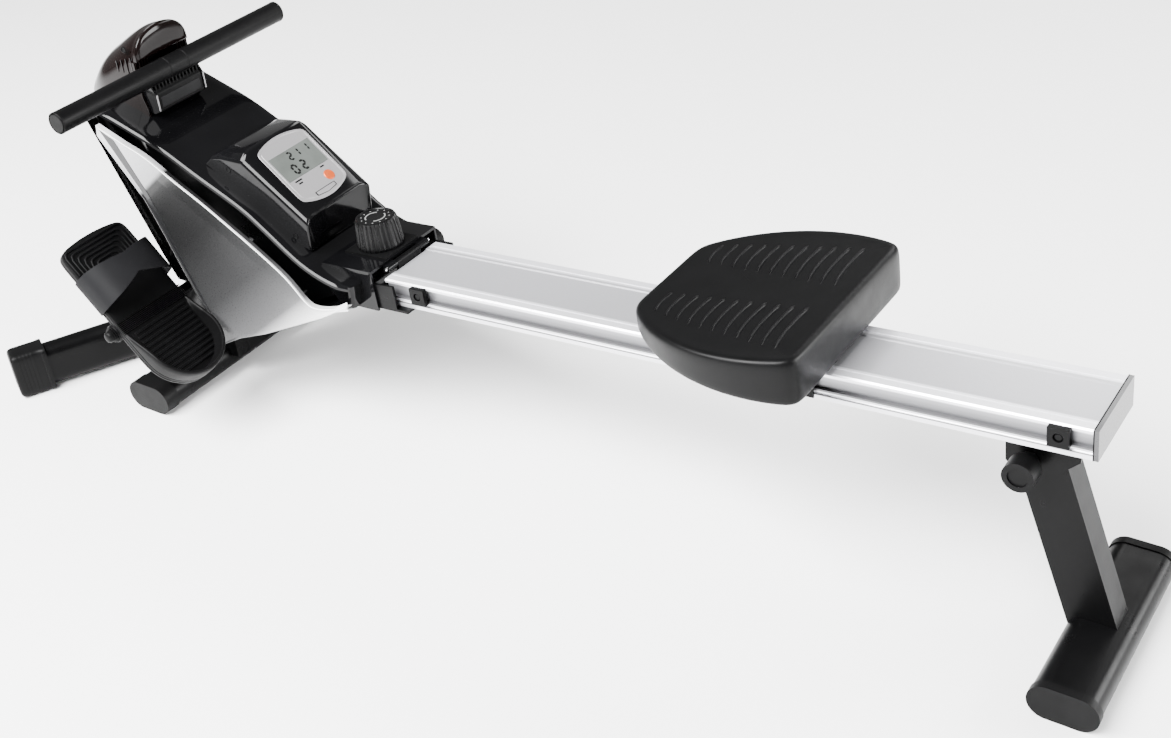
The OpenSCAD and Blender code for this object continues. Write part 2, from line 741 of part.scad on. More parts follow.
module rail_shoe() color("black") on_rail() {
    ear_in = 67.2;
    ear_out = bracket_in - gap;
    ear = [[rail_front + 22, -4], [rail_front + 22, -rail_h - shoe_t], [rail_front - 57, -rail_h - shoe_t],
        [rail_front - 57, -24], [rail_front - 44, -6], [rail_front + 6, -4]];
    difference() {
        union() {
            both_sides() side_plate(ear, ear_in, ear_out);
            span([rail_front - 20, -ear_out, -rail_h - shoe_t], [rail_front + 42, ear_out, -rail_h]);
            span([rail_front - 1, -ear_out, -rail_h], [rail_front, ear_out, -4]);
        }
        y_rod(pin_u, pin_w, pin_r + 0.5, -80, 80);
        for (step = [0 : 5]) translate([hinge_u, 0, hinge_w]) rotate([0, step * 7, 0])
            y_rod(pin_u - hinge_u, pin_w - hinge_w, pin_r + 0.6, 60, 80);
    }
    difference() {
        union() {
            y_rod(hinge_u, hinge_w, hinge_r, -25.6, 25.6);
            span([rail_front - 6, -25.6, -20], [rail_front - 1, 25.6, hinge_w]);
        }
        y_rod(hinge_u, hinge_w, hinge_pin_r + run_fit, -30, 30);
    }
}

module rail_end_gasket() color("black") on_rail() rotate([90, 0, 90])
    linear_extrude(1.5) rail_blank(0.4);
module rail_blank(grow) {
    translate([-half_w - grow, -rail_h - grow]) square([rail_w + 2 * grow, rail_h + 2 * grow]);
}
module rail_end_cap() color("silver") on_rail() translate([1.5, 0, 0]) rotate([90, 0, 90])
    linear_extrude(5) rail_blank(0.2);

// Stop blocks on the near side, one at each end of the seat's travel
module rail_stops() color("black") on_rail() for (u = [front_stop_u, rear_stop_u]) mirror([0, 1, 0]) {
    difference() {
        span([u - stop_size / 2, half_w, -27], [u + stop_size / 2, half_w + 8.5, -27 + stop_size]);
        y_rod(u, -14, 6, half_w + 4, half_w + 10);
    }
    y_rod(u, -14, 4, half_w - groove_d, half_w + 7);
}

// ---------------------------------------------------------------- seat

module seat_lens(h) {
    mid = 45;
    drop = seat_side_r - seat_half_w;
    intersection() {
        translate([-seat_len / 2, -seat_half_w, 0]) cube([seat_len, 2 * seat_half_w, h]);
        translate([mid, -drop, 0]) cylinder(r = seat_side_r, h = h, $fn = 128);
        translate([mid, drop, 0]) cylinder(r = seat_side_r, h = h, $fn = 128);
    }
}
module seat_pad() color("black") on_rail() translate([seat_u, 0, 0]) {
    slope = atan2(seat_top_rear - seat_top_front, seat_len);
    clear_y = side_plate_in + side_plate_t + 2;
    difference() {
        translate([0, 0, seat_bottom]) seat_lens(90);
        translate([-seat_len / 2, 0, seat_top_front]) rotate([0, -slope, 0]) span([-20, -200, 0], [320, 200, 90]);
        span([-seat_len, -clear_y, 0], [seat_len, clear_y, carriage_top]);
    }
}

module seat_carriage() color("dimgray") on_rail() translate([seat_u, 0, 0]) {
    half = carriage_len / 2;
    top = carriage_top - carriage_t;
    out = side_plate_in + side_plate_t;
    span([-half, -out, top], [half, out, carriage_top]);
    side = [[-half, carriage_top], [-half, -2], [guide_front_u - 24, -2], [guide_front_u - 12, -32],
        [half, -36], [half, carriage_top]];
    both_sides() side_plate(side, side_plate_in, out);
    for (s = [-1, 1]) y_rod(s * roller_u, roller_r + gap, 5, -side_plate_in, side_plate_in);
    for (u = [guide_front_u, guide_rear_u]) both_sides()
        y_rod(u, groove_mid, 3, half_w - groove_d + 0.8, side_plate_in + 1);
}
module roller_pair(u) on_rail() translate([seat_u + u, 0, roller_r + gap]) both_sides() difference() {
    y_rod(0, 0, roller_r, roller_in, roller_out);
    y_rod(0, 0, 5 + run_fit, roller_in - 1, roller_out + 1);
}
module guide_pair(u) on_rail() translate([seat_u + u, 0, groove_mid]) both_sides() difference() {
    y_rod(0, 0, guide_roller_r, half_w - groove_d + 0.4, half_w + 1.6);
    y_rod(0, 0, 3 + run_fit, half_w - groove_d, half_w + 3);
}
module front_rollers() color("gray") roller_pair(-roller_u);
module rear_rollers() color("gray") roller_pair(roller_u);
module guide_rollers_front() color("gray") guide_pair(guide_front_u);
module guide_rollers_rear() color("gray") guide_pair(guide_rear_u);

// ---------------------------------------------------------------- rear leg

module leg_bracket() color("black") on_rail() {
    cheek_in = leg_in + gap;
    cheek = [[-112, -rail_h], [-20, -rail_h], [-24, -74], [-60, -106], [-95, -108], [-112, -92]];
    difference() {
        union() {
            both_sides() side_plate(cheek, cheek_in, cheek_in + cheek_t);
            span([-120, -cheek_in - cheek_t, -rail_h - 4], [-16, cheek_in + cheek_t, -rail_h]);
        }
        y_rod(leg_u, leg_w, 5, -40, 40);
    }
    y_rod(-37, -61, 5, -cheek_in, cheek_in);
}
module leg_pivot_bolt() color("silver") on_rail() {
    y_rod(leg_u, leg_w, 5, -44, 32);
    y_hex(leg_u, leg_w, 9, leg_in + gap + cheek_t, 32);
}
module rear_leg() color("black") {
    strut = [[-104.5, -84], [-88, -63], [-66, -56], [-48, -60], [28, 8 - leg_drop], [-35, 8 - leg_drop]];
    on_rail() difference() {
        union() {
            side_plate(strut, -leg_in, leg_in);
            y_rod(leg_u, leg_w, 22, -leg_in, leg_in);
        }
        y_rod(leg_u, leg_w, 5 + run_fit, -30, 30);
        side_plate([[-90, -130], [-34, -130], [24, -leg_drop], [-30, -leg_drop]], -leg_in + leg_wall, leg_in - leg_wall);
    }
    x = on_rail_x(foot_u, -leg_drop);
    difference() {
        oval_bar(x, foot_h / 2 + 2, foot_w, foot_h, -foot_len / 2 + 6, foot_len / 2 - 6);
        both_sides() oval_bar(x, foot_h / 2 + 2, foot_w - 5, foot_h - 5, 40, foot_len / 2);
    }
}
module rear_foot_caps() color("black") oval_caps(on_rail_x(foot_u, -leg_drop), foot_len, 12);

module leg_lock_knob() color("black") on_rail() {
    near = -leg_in - gap - cheek_t;
    difference() {
        union() {
            y_rod(leg_u, leg_w, leg_knob_r, near - 42, near - 18);
            y_rod(leg_u, leg_w, leg_knob_r - 4, near - 18, near - 10);
            y_hex(leg_u, leg_w, 11, near - 10, near - gap);
        }
        y_rod(leg_u, leg_w, 5 + run_fit, near - 22, near + 1);
        y_rod(leg_u, leg_w, leg_knob_r - 7, near - 43, near - 40);
    }
}

// ---------------------------------------------------------------- assembly

machine() main_frame();
machine() pedal_axle();
machine() axle_nuts();
machine() front_stabilizer();
machine() front_stabilizer_caps();
machine() middle_stabilizer();
machine() middle_stabilizer_caps();
machine() rail_bracket();
machine() hinge_pin();
machine() centre_shell();
machine() side_panel_near();
machine() side_panel_far();
machine() hood();
machine() handle_rest();
machine() console_case();
machine() console_bezel();
machine() console_screen();
machine() circuit_board();
machine() console_button();
machine() knob_plate();
machine() tension_knob();
machine() tension_cable();
machine() flywheel_axle();
machine() flywheel_bearings();
machine() flywheel();
machine() flywheel_pulley();
machine() reel_axle();
machine() strap_reel();
machine() recoil_spring();
machine() drive_belt();
machine() cross_pins();
machine() guide_roller();
machine() magnet_arm();
machine() brake_magnets();
machine() pull_strap();
machine() handle_tube();
machine() handle_sleeve();
machine() handle_grips();
machine() handle_end_plugs();
machine() foot_plate_near();
machine() foot_plate_far();
machine() foot_strap_near();
machine() foot_strap_far();
machine() rail();
machine() rail_shoe();
machine() rail_end_gasket();
machine() rail_end_cap();
machine() rail_stops();
machine() seat_pad();
machine() seat_carriage();
machine() front_rollers();
machine() rear_rollers();
machine() guide_rollers_front();
machine() guide_rollers_rear();
machine() leg_bracket();
machine() leg_pivot_bolt();
machine() rear_leg();
machine() rear_foot_caps();
machine() leg_lock_knob();
machine() fold_lock_knob();
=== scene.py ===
"""Looks of a magnetic rowing machine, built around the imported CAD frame. Sizes are in millimetres."""
import math

import bmesh
import bpy
from mathutils import Matrix, Vector


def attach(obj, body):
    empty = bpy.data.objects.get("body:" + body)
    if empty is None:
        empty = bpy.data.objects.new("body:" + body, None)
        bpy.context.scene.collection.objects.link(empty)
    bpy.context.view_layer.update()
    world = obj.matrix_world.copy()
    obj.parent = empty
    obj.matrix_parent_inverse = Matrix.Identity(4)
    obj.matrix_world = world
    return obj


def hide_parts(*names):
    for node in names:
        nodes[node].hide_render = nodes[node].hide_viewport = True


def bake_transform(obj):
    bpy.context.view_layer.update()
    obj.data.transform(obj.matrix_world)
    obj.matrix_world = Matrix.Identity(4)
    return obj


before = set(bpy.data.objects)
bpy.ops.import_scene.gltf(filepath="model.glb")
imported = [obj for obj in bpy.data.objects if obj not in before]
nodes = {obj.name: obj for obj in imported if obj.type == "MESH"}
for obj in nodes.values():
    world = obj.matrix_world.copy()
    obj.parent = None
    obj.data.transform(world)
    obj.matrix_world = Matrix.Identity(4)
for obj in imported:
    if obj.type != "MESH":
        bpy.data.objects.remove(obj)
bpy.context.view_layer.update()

MM = 0.001
SHIFT = -14.0          # mm, where the CAD frame puts the machine's own x = 0
TILT = math.radians(3.6)
RAIL_REAR = Vector((835.0, 0.0, 354.0))
AXLE_X, AXLE_Z, NUT_Y = -580, 190, 246.5
BAR_X, BAR_Z = -590, 528.5

# Shades up the rail's side, with painted shade in its groove, and across its top, as (place, shade) stops
GROOVE_SHADE_STOPS = ((0.0, 0.9), (0.17, 0.9), (0.19, 0.1), (0.215, 0.1), (0.235, 1.0), (0.32, 0.8), (0.34, 0.1),
                (0.58, 0.2), (0.72, 0.34), (0.76, 1.0))
INLAY_STOPS = ((0.0, 1.0), (0.15, 1.0), (0.17, 0.5), (0.83, 0.54), (0.85, 1.0))

# Painted shade and painted floor reflection on the side panels: direction, range in metres, and (place,
# shade) stops
PANEL_SHADE_ACROSS = (0.617, 0.0, -0.787)
PANEL_SHADE_START, PANEL_SHADE_STOP = -0.79, -0.34
PANEL_SHADE_STOPS = ((0.0, 0.6), (0.268, 0.3), (0.284, 0.008), (0.5, 0.01), (0.72, 0.028), (0.88, 0.09), (1.0, 0.22))


def place(x, y, z):
    """A point of the machine, given in millimetres before the centring shift."""
    return Vector(((x + SHIFT) * MM, y * MM, z * MM))


def on_rail(u, y, w):
    """A point given along the rail, across it and above its top face, in millimetres."""
    x = RAIL_REAR.x + u * math.cos(TILT) - w * math.sin(TILT)
    z = RAIL_REAR.z + u * math.sin(TILT) + w * math.cos(TILT)
    return place(x, y, z)


# ------------------------------------------------------------------ camera, lights and floor

def make_camera():
    right = Vector((0.83071, 0.54975, -0.08768)).normalized()
    down = Vector((0.24488, -0.50229, -0.82930)).normalized()
    ahead = right.cross(down).normalized()
    data = bpy.data.cameras.new("camera")
    data.lens = 47.992
    data.sensor_width = 36.0
    data.clip_end = 50
    camera = bpy.data.objects.new("camera", data)
    place_at = place(1205.32, -1451.80, 1386.58)
    turn = Matrix((right, -down, -ahead)).transposed().to_4x4()
    camera.matrix_world = Matrix.Translation(place_at) @ turn
    bpy.context.scene.collection.objects.link(camera)
    bpy.context.scene.camera = camera


def area_light(name, at, aim, size, size_y, power):
    data = bpy.data.lights.new(name, "AREA")
    data.shape = "RECTANGLE"
    data.size = size
    data.size_y = size_y
    data.energy = power
    lamp = bpy.data.objects.new(name, data)
    lamp.location = at
    lamp.rotation_euler = (Vector(aim) - Vector(at)).to_track_quat("-Z", "Y").to_euler()
    bpy.context.scene.collection.objects.link(lamp)


def make_studio():
    world = bpy.data.worlds.new("studio")
    world.use_nodes = True
    background = world.node_tree.nodes["Background"]
    background.inputs["Color"].default_value = (1.0, 1.0, 1.0, 1.0)
    background.inputs["Strength"].default_value = 0.4
    bpy.context.scene.world = world
    area_light("key_light", (-0.9, -2.4, 3.3), (0.0, 0.0, 0.1), 3.6, 2.4, 1350)
    area_light("right_light", (3.0, 1.5, 1.1), (0.5, 0.0, 0.2), 1.8, 1.4, 240)
    area_light("far_light", (0.6, 2.9, 2.2), (0.1, 0.1, 0.2), 3.0, 0.5, 60)
    mesh = bpy.data.meshes.new("floor")
    mesh.from_pydata([(-8, -8, 0), (8, -8, 0), (8, 8, 0), (-8, 8, 0)], [], [(0, 1, 2, 3)])
    floor = bpy.data.objects.new("floor", mesh)
    bpy.context.scene.collection.objects.link(floor)
    floor.data.materials.append(floor_material())


# ------------------------------------------------------------------ materials

def new_material(name, base, rough, metal=0.0, coat=0.0, specular=0.5):
    material = bpy.data.materials.new(name)
    material.use_nodes = True
    shader = material.node_tree.nodes["Principled BSDF"]
    shader.inputs["Base Color"].default_value = (*base, 1.0)
    shader.inputs["Roughness"].default_value = rough
    shader.inputs["Metallic"].default_value = metal
    shader.inputs["Coat Weight"].default_value = coat
    shader.inputs["Coat Roughness"].default_value = 0.05
    shader.inputs["Specular IOR Level"].default_value = specular
    return material


def add(material, kind, **sockets):
    node = material.node_tree.nodes.new(kind)
    for name, value in sockets.items():
        node.inputs[name.replace("_", " ")].default_value = value
    return node


def link(material, out_socket, in_socket):
    material.node_tree.links.new(out_socket, in_socket)


def object_coords(material, stretch=(1, 1, 1)):
    coords = add(material, "ShaderNodeTexCoord")
    mapping = add(material, "ShaderNodeMapping")
    mapping.inputs["Scale"].default_value = stretch
    link(material, coords.outputs["Object"], mapping.inputs["Vector"])
    return mapping.outputs["Vector"]


def noise(material, scale, detail=3.0, stretch=(1, 1, 1)):
    node = add(material, "ShaderNodeTexNoise", Scale=scale, Detail=detail)
    link(material, object_coords(material, stretch), node.inputs["Vector"])
    return node.outputs["Fac"]


def ramp(material, source, low, high, start=0.3, stop=0.7):
    """Maps a texture's value to a number between low and high."""
    node = add(material, "ShaderNodeMapRange")
    node.inputs["From Min"].default_value = start
    node.inputs["From Max"].default_value = stop
    node.inputs["To Min"].default_value = low
    node.inputs["To Max"].default_value = high
    link(material, source, node.inputs["Value"])
    return node.outputs["Result"]


def tint(material, source, dark, light):
    """Mixes two colours by a texture's value and feeds the base colour."""
    node = add(material, "ShaderNodeMix")
    node.data_type = "RGBA"
    node.inputs["A"].default_value = (*dark, 1.0)
    node.inputs["B"].default_value = (*light, 1.0)
    link(material, ramp(material, source, 0.0, 1.0), node.inputs["Factor"])
    shader = material.node_tree.nodes["Principled BSDF"]
    link(material, node.outputs["Result"], shader.inputs["Base Color"])
    return node


def roughen(material, source, low, high):
    shader = material.node_tree.nodes["Principled BSDF"]
    link(material, ramp(material, source, low, high), shader.inputs["Roughness"])


def bump(material, source, strength, distance):
    node = add(material, "ShaderNodeBump", Strength=strength, Distance=distance)
    link(material, source, node.inputs["Height"])
    shader = material.node_tree.nodes["Principled BSDF"]
    link(material, node.outputs["Normal"], shader.inputs["Normal"])


def floor_material():
    material = new_material("studio_floor", (0.92, 0.92, 0.92), 0.6)
    tint(material, noise(material, 1.5), (0.93, 0.93, 0.93), (0.94, 0.94, 0.94))
    return material


def gloss_black(name="gloss_black", base=(0.0012, 0.0012, 0.0014)):
    """Piano black mouldings: a clear surface with faint waviness and fine dust wear."""
    material = new_material(name, base, 0.1, coat=0.02, specular=0.14)
    light = tuple(value * 1.5 + 0.0006 for value in base)
    tint(material, noise(material, 9), base, light)
    roughen(material, noise(material, 60, 5), 0.07, 0.12)
    bump(material, noise(material, 11, 1), 0.03, 0.002)
    return material


def grained_black(name="grained_black", base=(0.0018, 0.0018, 0.0019), rough=(0.4, 0.5), grain=1400, lift=0.2,
                  specular=0.07):
    """Moulded plastic with a fine spark-eroded grain."""
    material = new_material(name, base, rough[0], specular=specular)
    light = tuple(value * 1.3 for value in base)
    tint(material, noise(material, 30, 4), base, light)
    roughen(material, noise(material, 45, 4), *rough)
    bump(material, noise(material, grain, 2), lift, 0.0004)
    return material


def powder_coat():
    """Gloss powder coat on steel, with slight orange peel."""
    base = (0.0012, 0.0012, 0.0013)
    material = new_material("powder_coat", base, 0.28, specular=0.07)
    light = tuple(value * 1.4 for value in base)
    tint(material, noise(material, 18, 4), base, light)
    roughen(material, noise(material, 35, 5), 0.26, 0.36)
    bump(material, noise(material, 420, 2), 0.08, 0.0004)
    return material


def along(material, direction, start, stop):
    """How far a surface point lies along a direction, scaled so that start gives 0 and stop gives 1."""
    dot = add(material, "ShaderNodeVectorMath")
    dot.operation = "DOT_PRODUCT"
    dot.inputs[1].default_value = direction
    link(material, object_coords(material), dot.inputs[0])
    return ramp(material, dot.outputs["Value"], 0.0, 1.0, start, stop)


def shades(material, source, stops):
    """A grey that changes by (place, shade) stops."""
    colours = add(material, "ShaderNodeValToRGB")
    colours.color_ramp.interpolation = "LINEAR"
    elements = colours.color_ramp.elements
    for place_on, shade in stops:
        elements.new(place_on).color = (shade, shade, shade * 1.02, 1.0)
    elements.remove(elements[0])
    elements.remove(elements[-1])
    link(material, source, colours.inputs["Fac"])
    return colours.outputs["Color"]


def multiply(material, first, second):
    """Multiplies two colours and returns the result."""
    node = add(material, "ShaderNodeMix")
    node.data_type = "RGBA"
    node.blend_type = "MULTIPLY"
    node.inputs["Factor"].default_value = 1.0
    link(material, first, node.inputs["A"])
    link(material, second, node.inputs["B"])
    return node.outputs["Result"]


def anodised():
    """Anodised aluminium: fine drawn lines, a grey inlay on top and painted shade in the groove along each
    side.
    """
    material = new_material("anodised_rail", (0.80, 0.80, 0.81), 0.3, metal=0.6)
    lines = noise(material, 60, 3, stretch=(0.6, 40, 40))
    drawn = tint(material, lines, (0.76, 0.76, 0.77), (0.86, 0.86, 0.865)).outputs["Result"]
    top = on_rail(0, 0, 0)
    normal = Vector((-math.sin(TILT), 0, math.cos(TILT)))
    level = normal.dot(top)
    depth = along(material, tuple(normal), level - 0.042, level + 0.002)
    # Painted shade: darkens the side groove, and a thin line below it, by height on the rail
    down = shades(material, depth, GROOVE_SHADE_STOPS)
    across = shades(material, along(material, (0, 1, 0), -0.06, 0.06), INLAY_STOPS)
    shader = material.node_tree.nodes["Principled BSDF"]
    link(material, multiply(material, multiply(material, drawn, down), across), shader.inputs["Base Color"])
    roughen(material, lines, 0.28, 0.4)
    bump(material, noise(material, 90, 2, stretch=(0.4, 30, 30)), 0.05, 0.0003)
    return material


def silver_paint(name="silver_paint", base=(0.50, 0.52, 0.55), rough=(0.26, 0.36)):
    """Silver lacquer on a moulding, with fine metal flakes."""
    material = new_material(name, base, rough[0], metal=0.5, coat=0.2)
    light = tuple(min(1.0, value * 1.12) for value in base)
    tint(material, noise(material, 900, 2), base, light)
    roughen(material, noise(material, 500, 2), *rough)
    bump(material, noise(material, 1600, 1), 0.04, 0.0002)
    return material


def painted_shade_silver():
    """Silver lacquer with painted shade and painted reflection: light at the nose, dark grey in the middle,
    light at the tail.
    """
    material = new_material("painted_shade_silver", (0.4, 0.4, 0.42), 0.3, metal=0.15, coat=0.08, specular=0.25)
    # Painted shade and painted reflection: the panel colour darkens across its middle and lightens towards
    # nose and tail
    panel_shade = along(material, PANEL_SHADE_ACROSS, PANEL_SHADE_START, PANEL_SHADE_STOP)
    colours = shades(material, panel_shade, PANEL_SHADE_STOPS)
    flakes = add(material, "ShaderNodeMix")
    flakes.data_type = "RGBA"
    flakes.blend_type = "MULTIPLY"
    flakes.inputs["B"].default_value = (0.86, 0.86, 0.87, 1.0)
    link(material, ramp(material, noise(material, 900, 2), 0.0, 1.0), flakes.inputs["Factor"])
    link(material, colours, flakes.inputs["A"])
    shader = material.node_tree.nodes["Principled BSDF"]
    link(material, flakes.outputs["Result"], shader.inputs["Base Color"])
    roughen(material, noise(material, 500, 2), 0.26, 0.34)
    bump(material, noise(material, 1600, 1), 0.04, 0.0002)
    return material


def plated_steel():
    material = new_material("plated_steel", (0.62, 0.62, 0.63), 0.22, metal=1.0)
    tint(material, noise(material, 50, 4), (0.52, 0.52, 0.54), (0.72, 0.72, 0.72))
    roughen(material, noise(material, 70, 4), 0.16, 0.34)
    bump(material, noise(material, 300, 3), 0.05, 0.0002)
    return material


def rubber(name="soft_rubber", base=(0.0022, 0.0022, 0.0023), rough=(0.45, 0.56)):
    material = new_material(name, base, rough[0], specular=0.07)
    tint(material, noise(material, 25, 4), base, tuple(value * 1.3 for value in base))
    roughen(material, noise(material, 40, 4), *rough)
    bump(material, noise(material, 900, 3), 0.12, 0.0004)
    return material


def woven():
    """Flat woven webbing: one wave in the bump and fine noise in the colour stand for the weave."""
    base = (0.006, 0.006, 0.0063)
    material = new_material("woven_strap", base, 0.8)
    tint(material, noise(material, 200, 3), base, tuple(value * 2.0 for value in base))
    wave = add(material, "ShaderNodeTexWave", Scale=520.0, Distortion=0.4)
    wave.bands_direction = "Y"
    link(material, object_coords(material), wave.inputs["Vector"])
    bump(material, wave.outputs["Fac"], 0.5, 0.0004)
    return material


# ------------------------------------------------------------------ mesh helpers

def make_object(name, points, faces, look, body, smooth=35):
    """A mesh object from points in metres. Faces flatter than the angle are shaded smooth."""
    mesh = bpy.data.meshes.new(name)
    mesh.from_pydata([tuple(p) for p in points], [], faces)
    mesh.validate()
    work = bmesh.new()
    work.from_mesh(mesh)
    bmesh.ops.remove_doubles(work, verts=work.verts, dist=1e-6)
    bmesh.ops.recalc_face_normals(work, faces=work.faces)
    work.to_mesh(mesh)
    work.free()
    piece = bpy.data.objects.new(name, mesh)
    bpy.context.scene.collection.objects.link(piece)
    mesh.materials.append(looks[look])
    mesh.shade_smooth()
    mesh.set_sharp_from_angle(angle=math.radians(smooth))
    if body:
        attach(piece, body)
    return piece


def loft(name, rings, look, body, smooth=35, capped=True, looped=True):
    """Skins a list of rings that all have the same number of points."""
    count = len(rings[0])
    points = [p for ring in rings for p in ring]
    faces = []
    last = count if looped else count - 1
    for row in range(len(rings) - 1):
        for k in range(last):
            a = row * count + k
            b = row * count + (k + 1) % count
            faces.append((a, b, b + count, a + count))
    if capped:
        faces.append(tuple(range(count))[::-1])
        faces.append(tuple((len(rings) - 1) * count + k for k in range(count)))
    return make_object(name, points, faces, look, body, smooth)


def soften(piece, width, segments=3, angle=30):
    """Rounds a piece's edges by a bevel, in millimetres."""
    bevel = piece.modifiers.new("round_edges", "BEVEL")
    bevel.width = width * MM
    bevel.segments = segments
    bevel.limit_method = "ANGLE"
    bevel.angle_limit = math.radians(angle)
    bevel.harden_normals = True
    return piece


def slab(name, outline, y_low, y_high, look, body, round_by=1.0, segments=3, at=place):
    """A side outline, drawn as (x, z) points, extruded across the machine and rounded."""
    near = [at(x, y_low, z) for x, z in outline]
    far = [at(x, y_high, z) for x, z in outline]
    return soften(loft(name, [near, far], look, body, 25), round_by, segments)


def block(name, low, high, look, body, round_by=1.0, at=place):
    """A rounded box between two corners in millimetres."""
    outline = [(low[0], low[2]), (high[0], low[2]), (high[0], high[2]), (low[0], high[2])]
    slab(name, outline, low[1], high[1], look, body, round_by, 2, at)


def frame_of(direction):
    """Two unit vectors square to a direction and to each other."""
    ahead = Vector(direction).normalized()
    guess = Vector((0, 0, 1)) if abs(ahead.z) < 0.9 else Vector((1, 0, 0))
    side = ahead.cross(guess).normalized()
    return side, ahead.cross(side).normalized()


def turned(name, centre, direction, profile, look, body, sides=48, smooth=40):
    """A turned piece: profile is a list of (distance along the axis, radius) in millimetres."""
    side, over = frame_of(direction)
    ahead = Vector(direction).normalized()
    rings = []
    for along, radius in profile:
        middle = centre + ahead * along * MM
        rings.append([middle + (side * math.cos(t) + over * math.sin(t)) * radius * MM
                      for t in (2 * math.pi * k / sides for k in range(sides))])
    return loft(name, rings, look, body, smooth)


def resample(points, count):
    """Spreads count points evenly along a closed outline."""
    closed = points + [points[0]]
    steps = [math.dist(closed[k], closed[k + 1]) for k in range(len(points))]
    total = sum(steps)
    result = []
    for n in range(count):
        want = total * n / count
        k = 0
        while want > steps[k]:
            want -= steps[k]
            k += 1
        t = want / steps[k]
        result.append(tuple(closed[k][i] * (1 - t) + closed[k + 1][i] * t for i in range(2)))
    return result


def relax(points, rounds):
    """Rounds an evenly spaced closed outline by averaging neighbours."""
    for _ in range(rounds):
        count = len(points)
        points = [tuple((points[k - 1][i] + 2 * points[k][i] + points[(k + 1) % count][i]) / 4
                        for i in range(2)) for k in range(count)]
    return points


def shrink(points, by):
    """Moves each point of a counter-clockwise outline inwards along its own normal."""
    count = len(points)
    result = []
    for k in range(count):
        ax, az = points[k - 1]
        bx, bz = points[(k + 1) % count]
        length = math.hypot(bx - ax, bz - az) or 1.0
        result.append((points[k][0] - (bz - az) / length * by, points[k][1] + (bx - ax) / length * by))
    return result


# ------------------------------------------------------------------ seat

SEAT_MID = -440.0


def seat_outline(count=180):
    """Plan of the seat: two wide arcs, a narrow front edge and a broad rear edge."""
    front, rear, radius, mid = -129.0, 130.0, 222.0, 45.0
    steps = 40
    side = [(front + (rear - front) * k / steps) for k in range(steps + 1)]
    width = [math.sqrt(radius ** 2 - (x - mid) ** 2) - 56 for x in side]
    points = [(x, -w) for x, w in zip(side, width)] + [(x, w) for x, w in zip(side[::-1], width[::-1])]
    return relax(resample(points, count), 9)


def seat_height(x):
    """Height of the seat's top above the rail. It rises towards the rear."""
    return 58.0 + (x + 129.0) * 12.0 / 259.0


def seat_bottom(x):
    """Underside of the seat's skirt, which curves down towards the rear."""
    t = (x + 129.0) / 259.0
    return 30.0 - 26.0 * t + 3.0 * t * t


def make_seat():
    """The moulded seat skin, from its underside over the crisp rim to the nearly flat top."""
    plan = seat_outline()
    rows = [(30, "foot"), (10, "low"), (4, "low"), (1.6, "low"), (0.5, 0.07), (0.0, 0.16), (0.0, 0.42),
            (0.0, 0.68), (0.3, 0.84), (1.6, 0.94), (4.2, 0.985), (8.0, 0.999), (13, 0.994), (20, 0.984),
            (34, 0.974), (52, 0.97)]
    rings = []
    for inward, level in rows:
        ring = []
        moved = shrink(plan, inward)
        for (px, py), (mx, my) in zip(plan, moved):
            top = seat_height(mx)
            low = seat_bottom(px)
            if level == "foot":
                z = low + 4
            elif level == "low":
                z = low if inward > 8 else low + 1.5
            else:
                z = low + (top - low) * level
            ring.append(on_rail(SEAT_MID + mx, my, z))
        rings.append(ring)
    centre = [on_rail(SEAT_MID + x * 0.05, y * 0.05, seat_height(x * 0.05) - 2.0)
              for x, y in shrink(plan, 60)]
    rings.append(centre)
    seat = loft("seat_cushion", rings, "seat", "seat", 60)
    sub = seat.modifiers.new("smooth_form", "SUBSURF")
    sub.levels = 1
    sub.render_levels = 1
    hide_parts("seat_pad")
    for side in (-1, 1):
        for k in range(11):
            seat_rib(side, k)


def seat_rib(side, k):
    """One raised rib across the seat, with a bead at its inner or rear end."""
    t_row = k / 10
    x_in = -94 + 18.4 * k
    inner = 40 - 13 * t_row
    outer = inner + 52 + 50 * t_row ** 0.8
    bead = 0.03 if side < 0 else 0.97
    steps = 18
    rings = []
    for n in range(steps + 1):
        t = n / steps
        y = side * (inner + (outer - inner) * t)
        x = x_in - side * 5 * (t - 0.5) - 3.5 * math.sin(t * math.pi)
        swell = min(1.0, 0.2 + 9 * t, 0.2 + 9 * (1 - t))
        knob = math.exp(-((t - bead) * 16) ** 2)
        half = (2.3 + 1.5 * knob) * swell
        lift = (2.9 + 0.9 * knob) * swell
        base = seat_height(x) - 2.2
        rings.append([on_rail(SEAT_MID + x + half * math.cos(math.pi * m / 8), y,
                              base + lift * math.sin(math.pi * m / 8)) for m in range(9)])
    name = "seat_rib_%s_%d" % ("near" if side < 0 else "far", k + 1)
    rib = loft(name, rings, "seat", "seat", 70)


# ------------------------------------------------------------------ housing

SHELL_TOP = [(-207, 287), (-246, 286), (-300, 305), (-361, 348), (-402, 375), (-483, 412), (-542, 440),
             (-595, 458), (-657, 477), (-696, 481)]
SHELL_FRONT = [(-725, 479), (-741, 468), (-745, 455), (-738, 430), (-690, 330), (-641, 218)]
SHELL_BASE = [(-585, 205), (-549, 205), (-506, 112), (-404, 159), (-271, 224), (-212, 250)]


def nose_cut(x, y, z):
    """Places a point, held behind the rounded nose, which leans like the housing's front."""
    lean = math.radians(24.5)
    along = (x + 640) * math.cos(lean) + (z - 330) * math.sin(lean)
    up = -(x + 640) * math.sin(lean) + (z - 330) * math.cos(lean)
    radius = 129.0
    front = radius - 46 - math.sqrt(radius ** 2 - min(abs(y), 118.0) ** 2)
    along = max(along, front)
    return place(-640 + along * math.cos(lean) - up * math.sin(lean), y,
                 330 + along * math.sin(lean) + up * math.cos(lean))


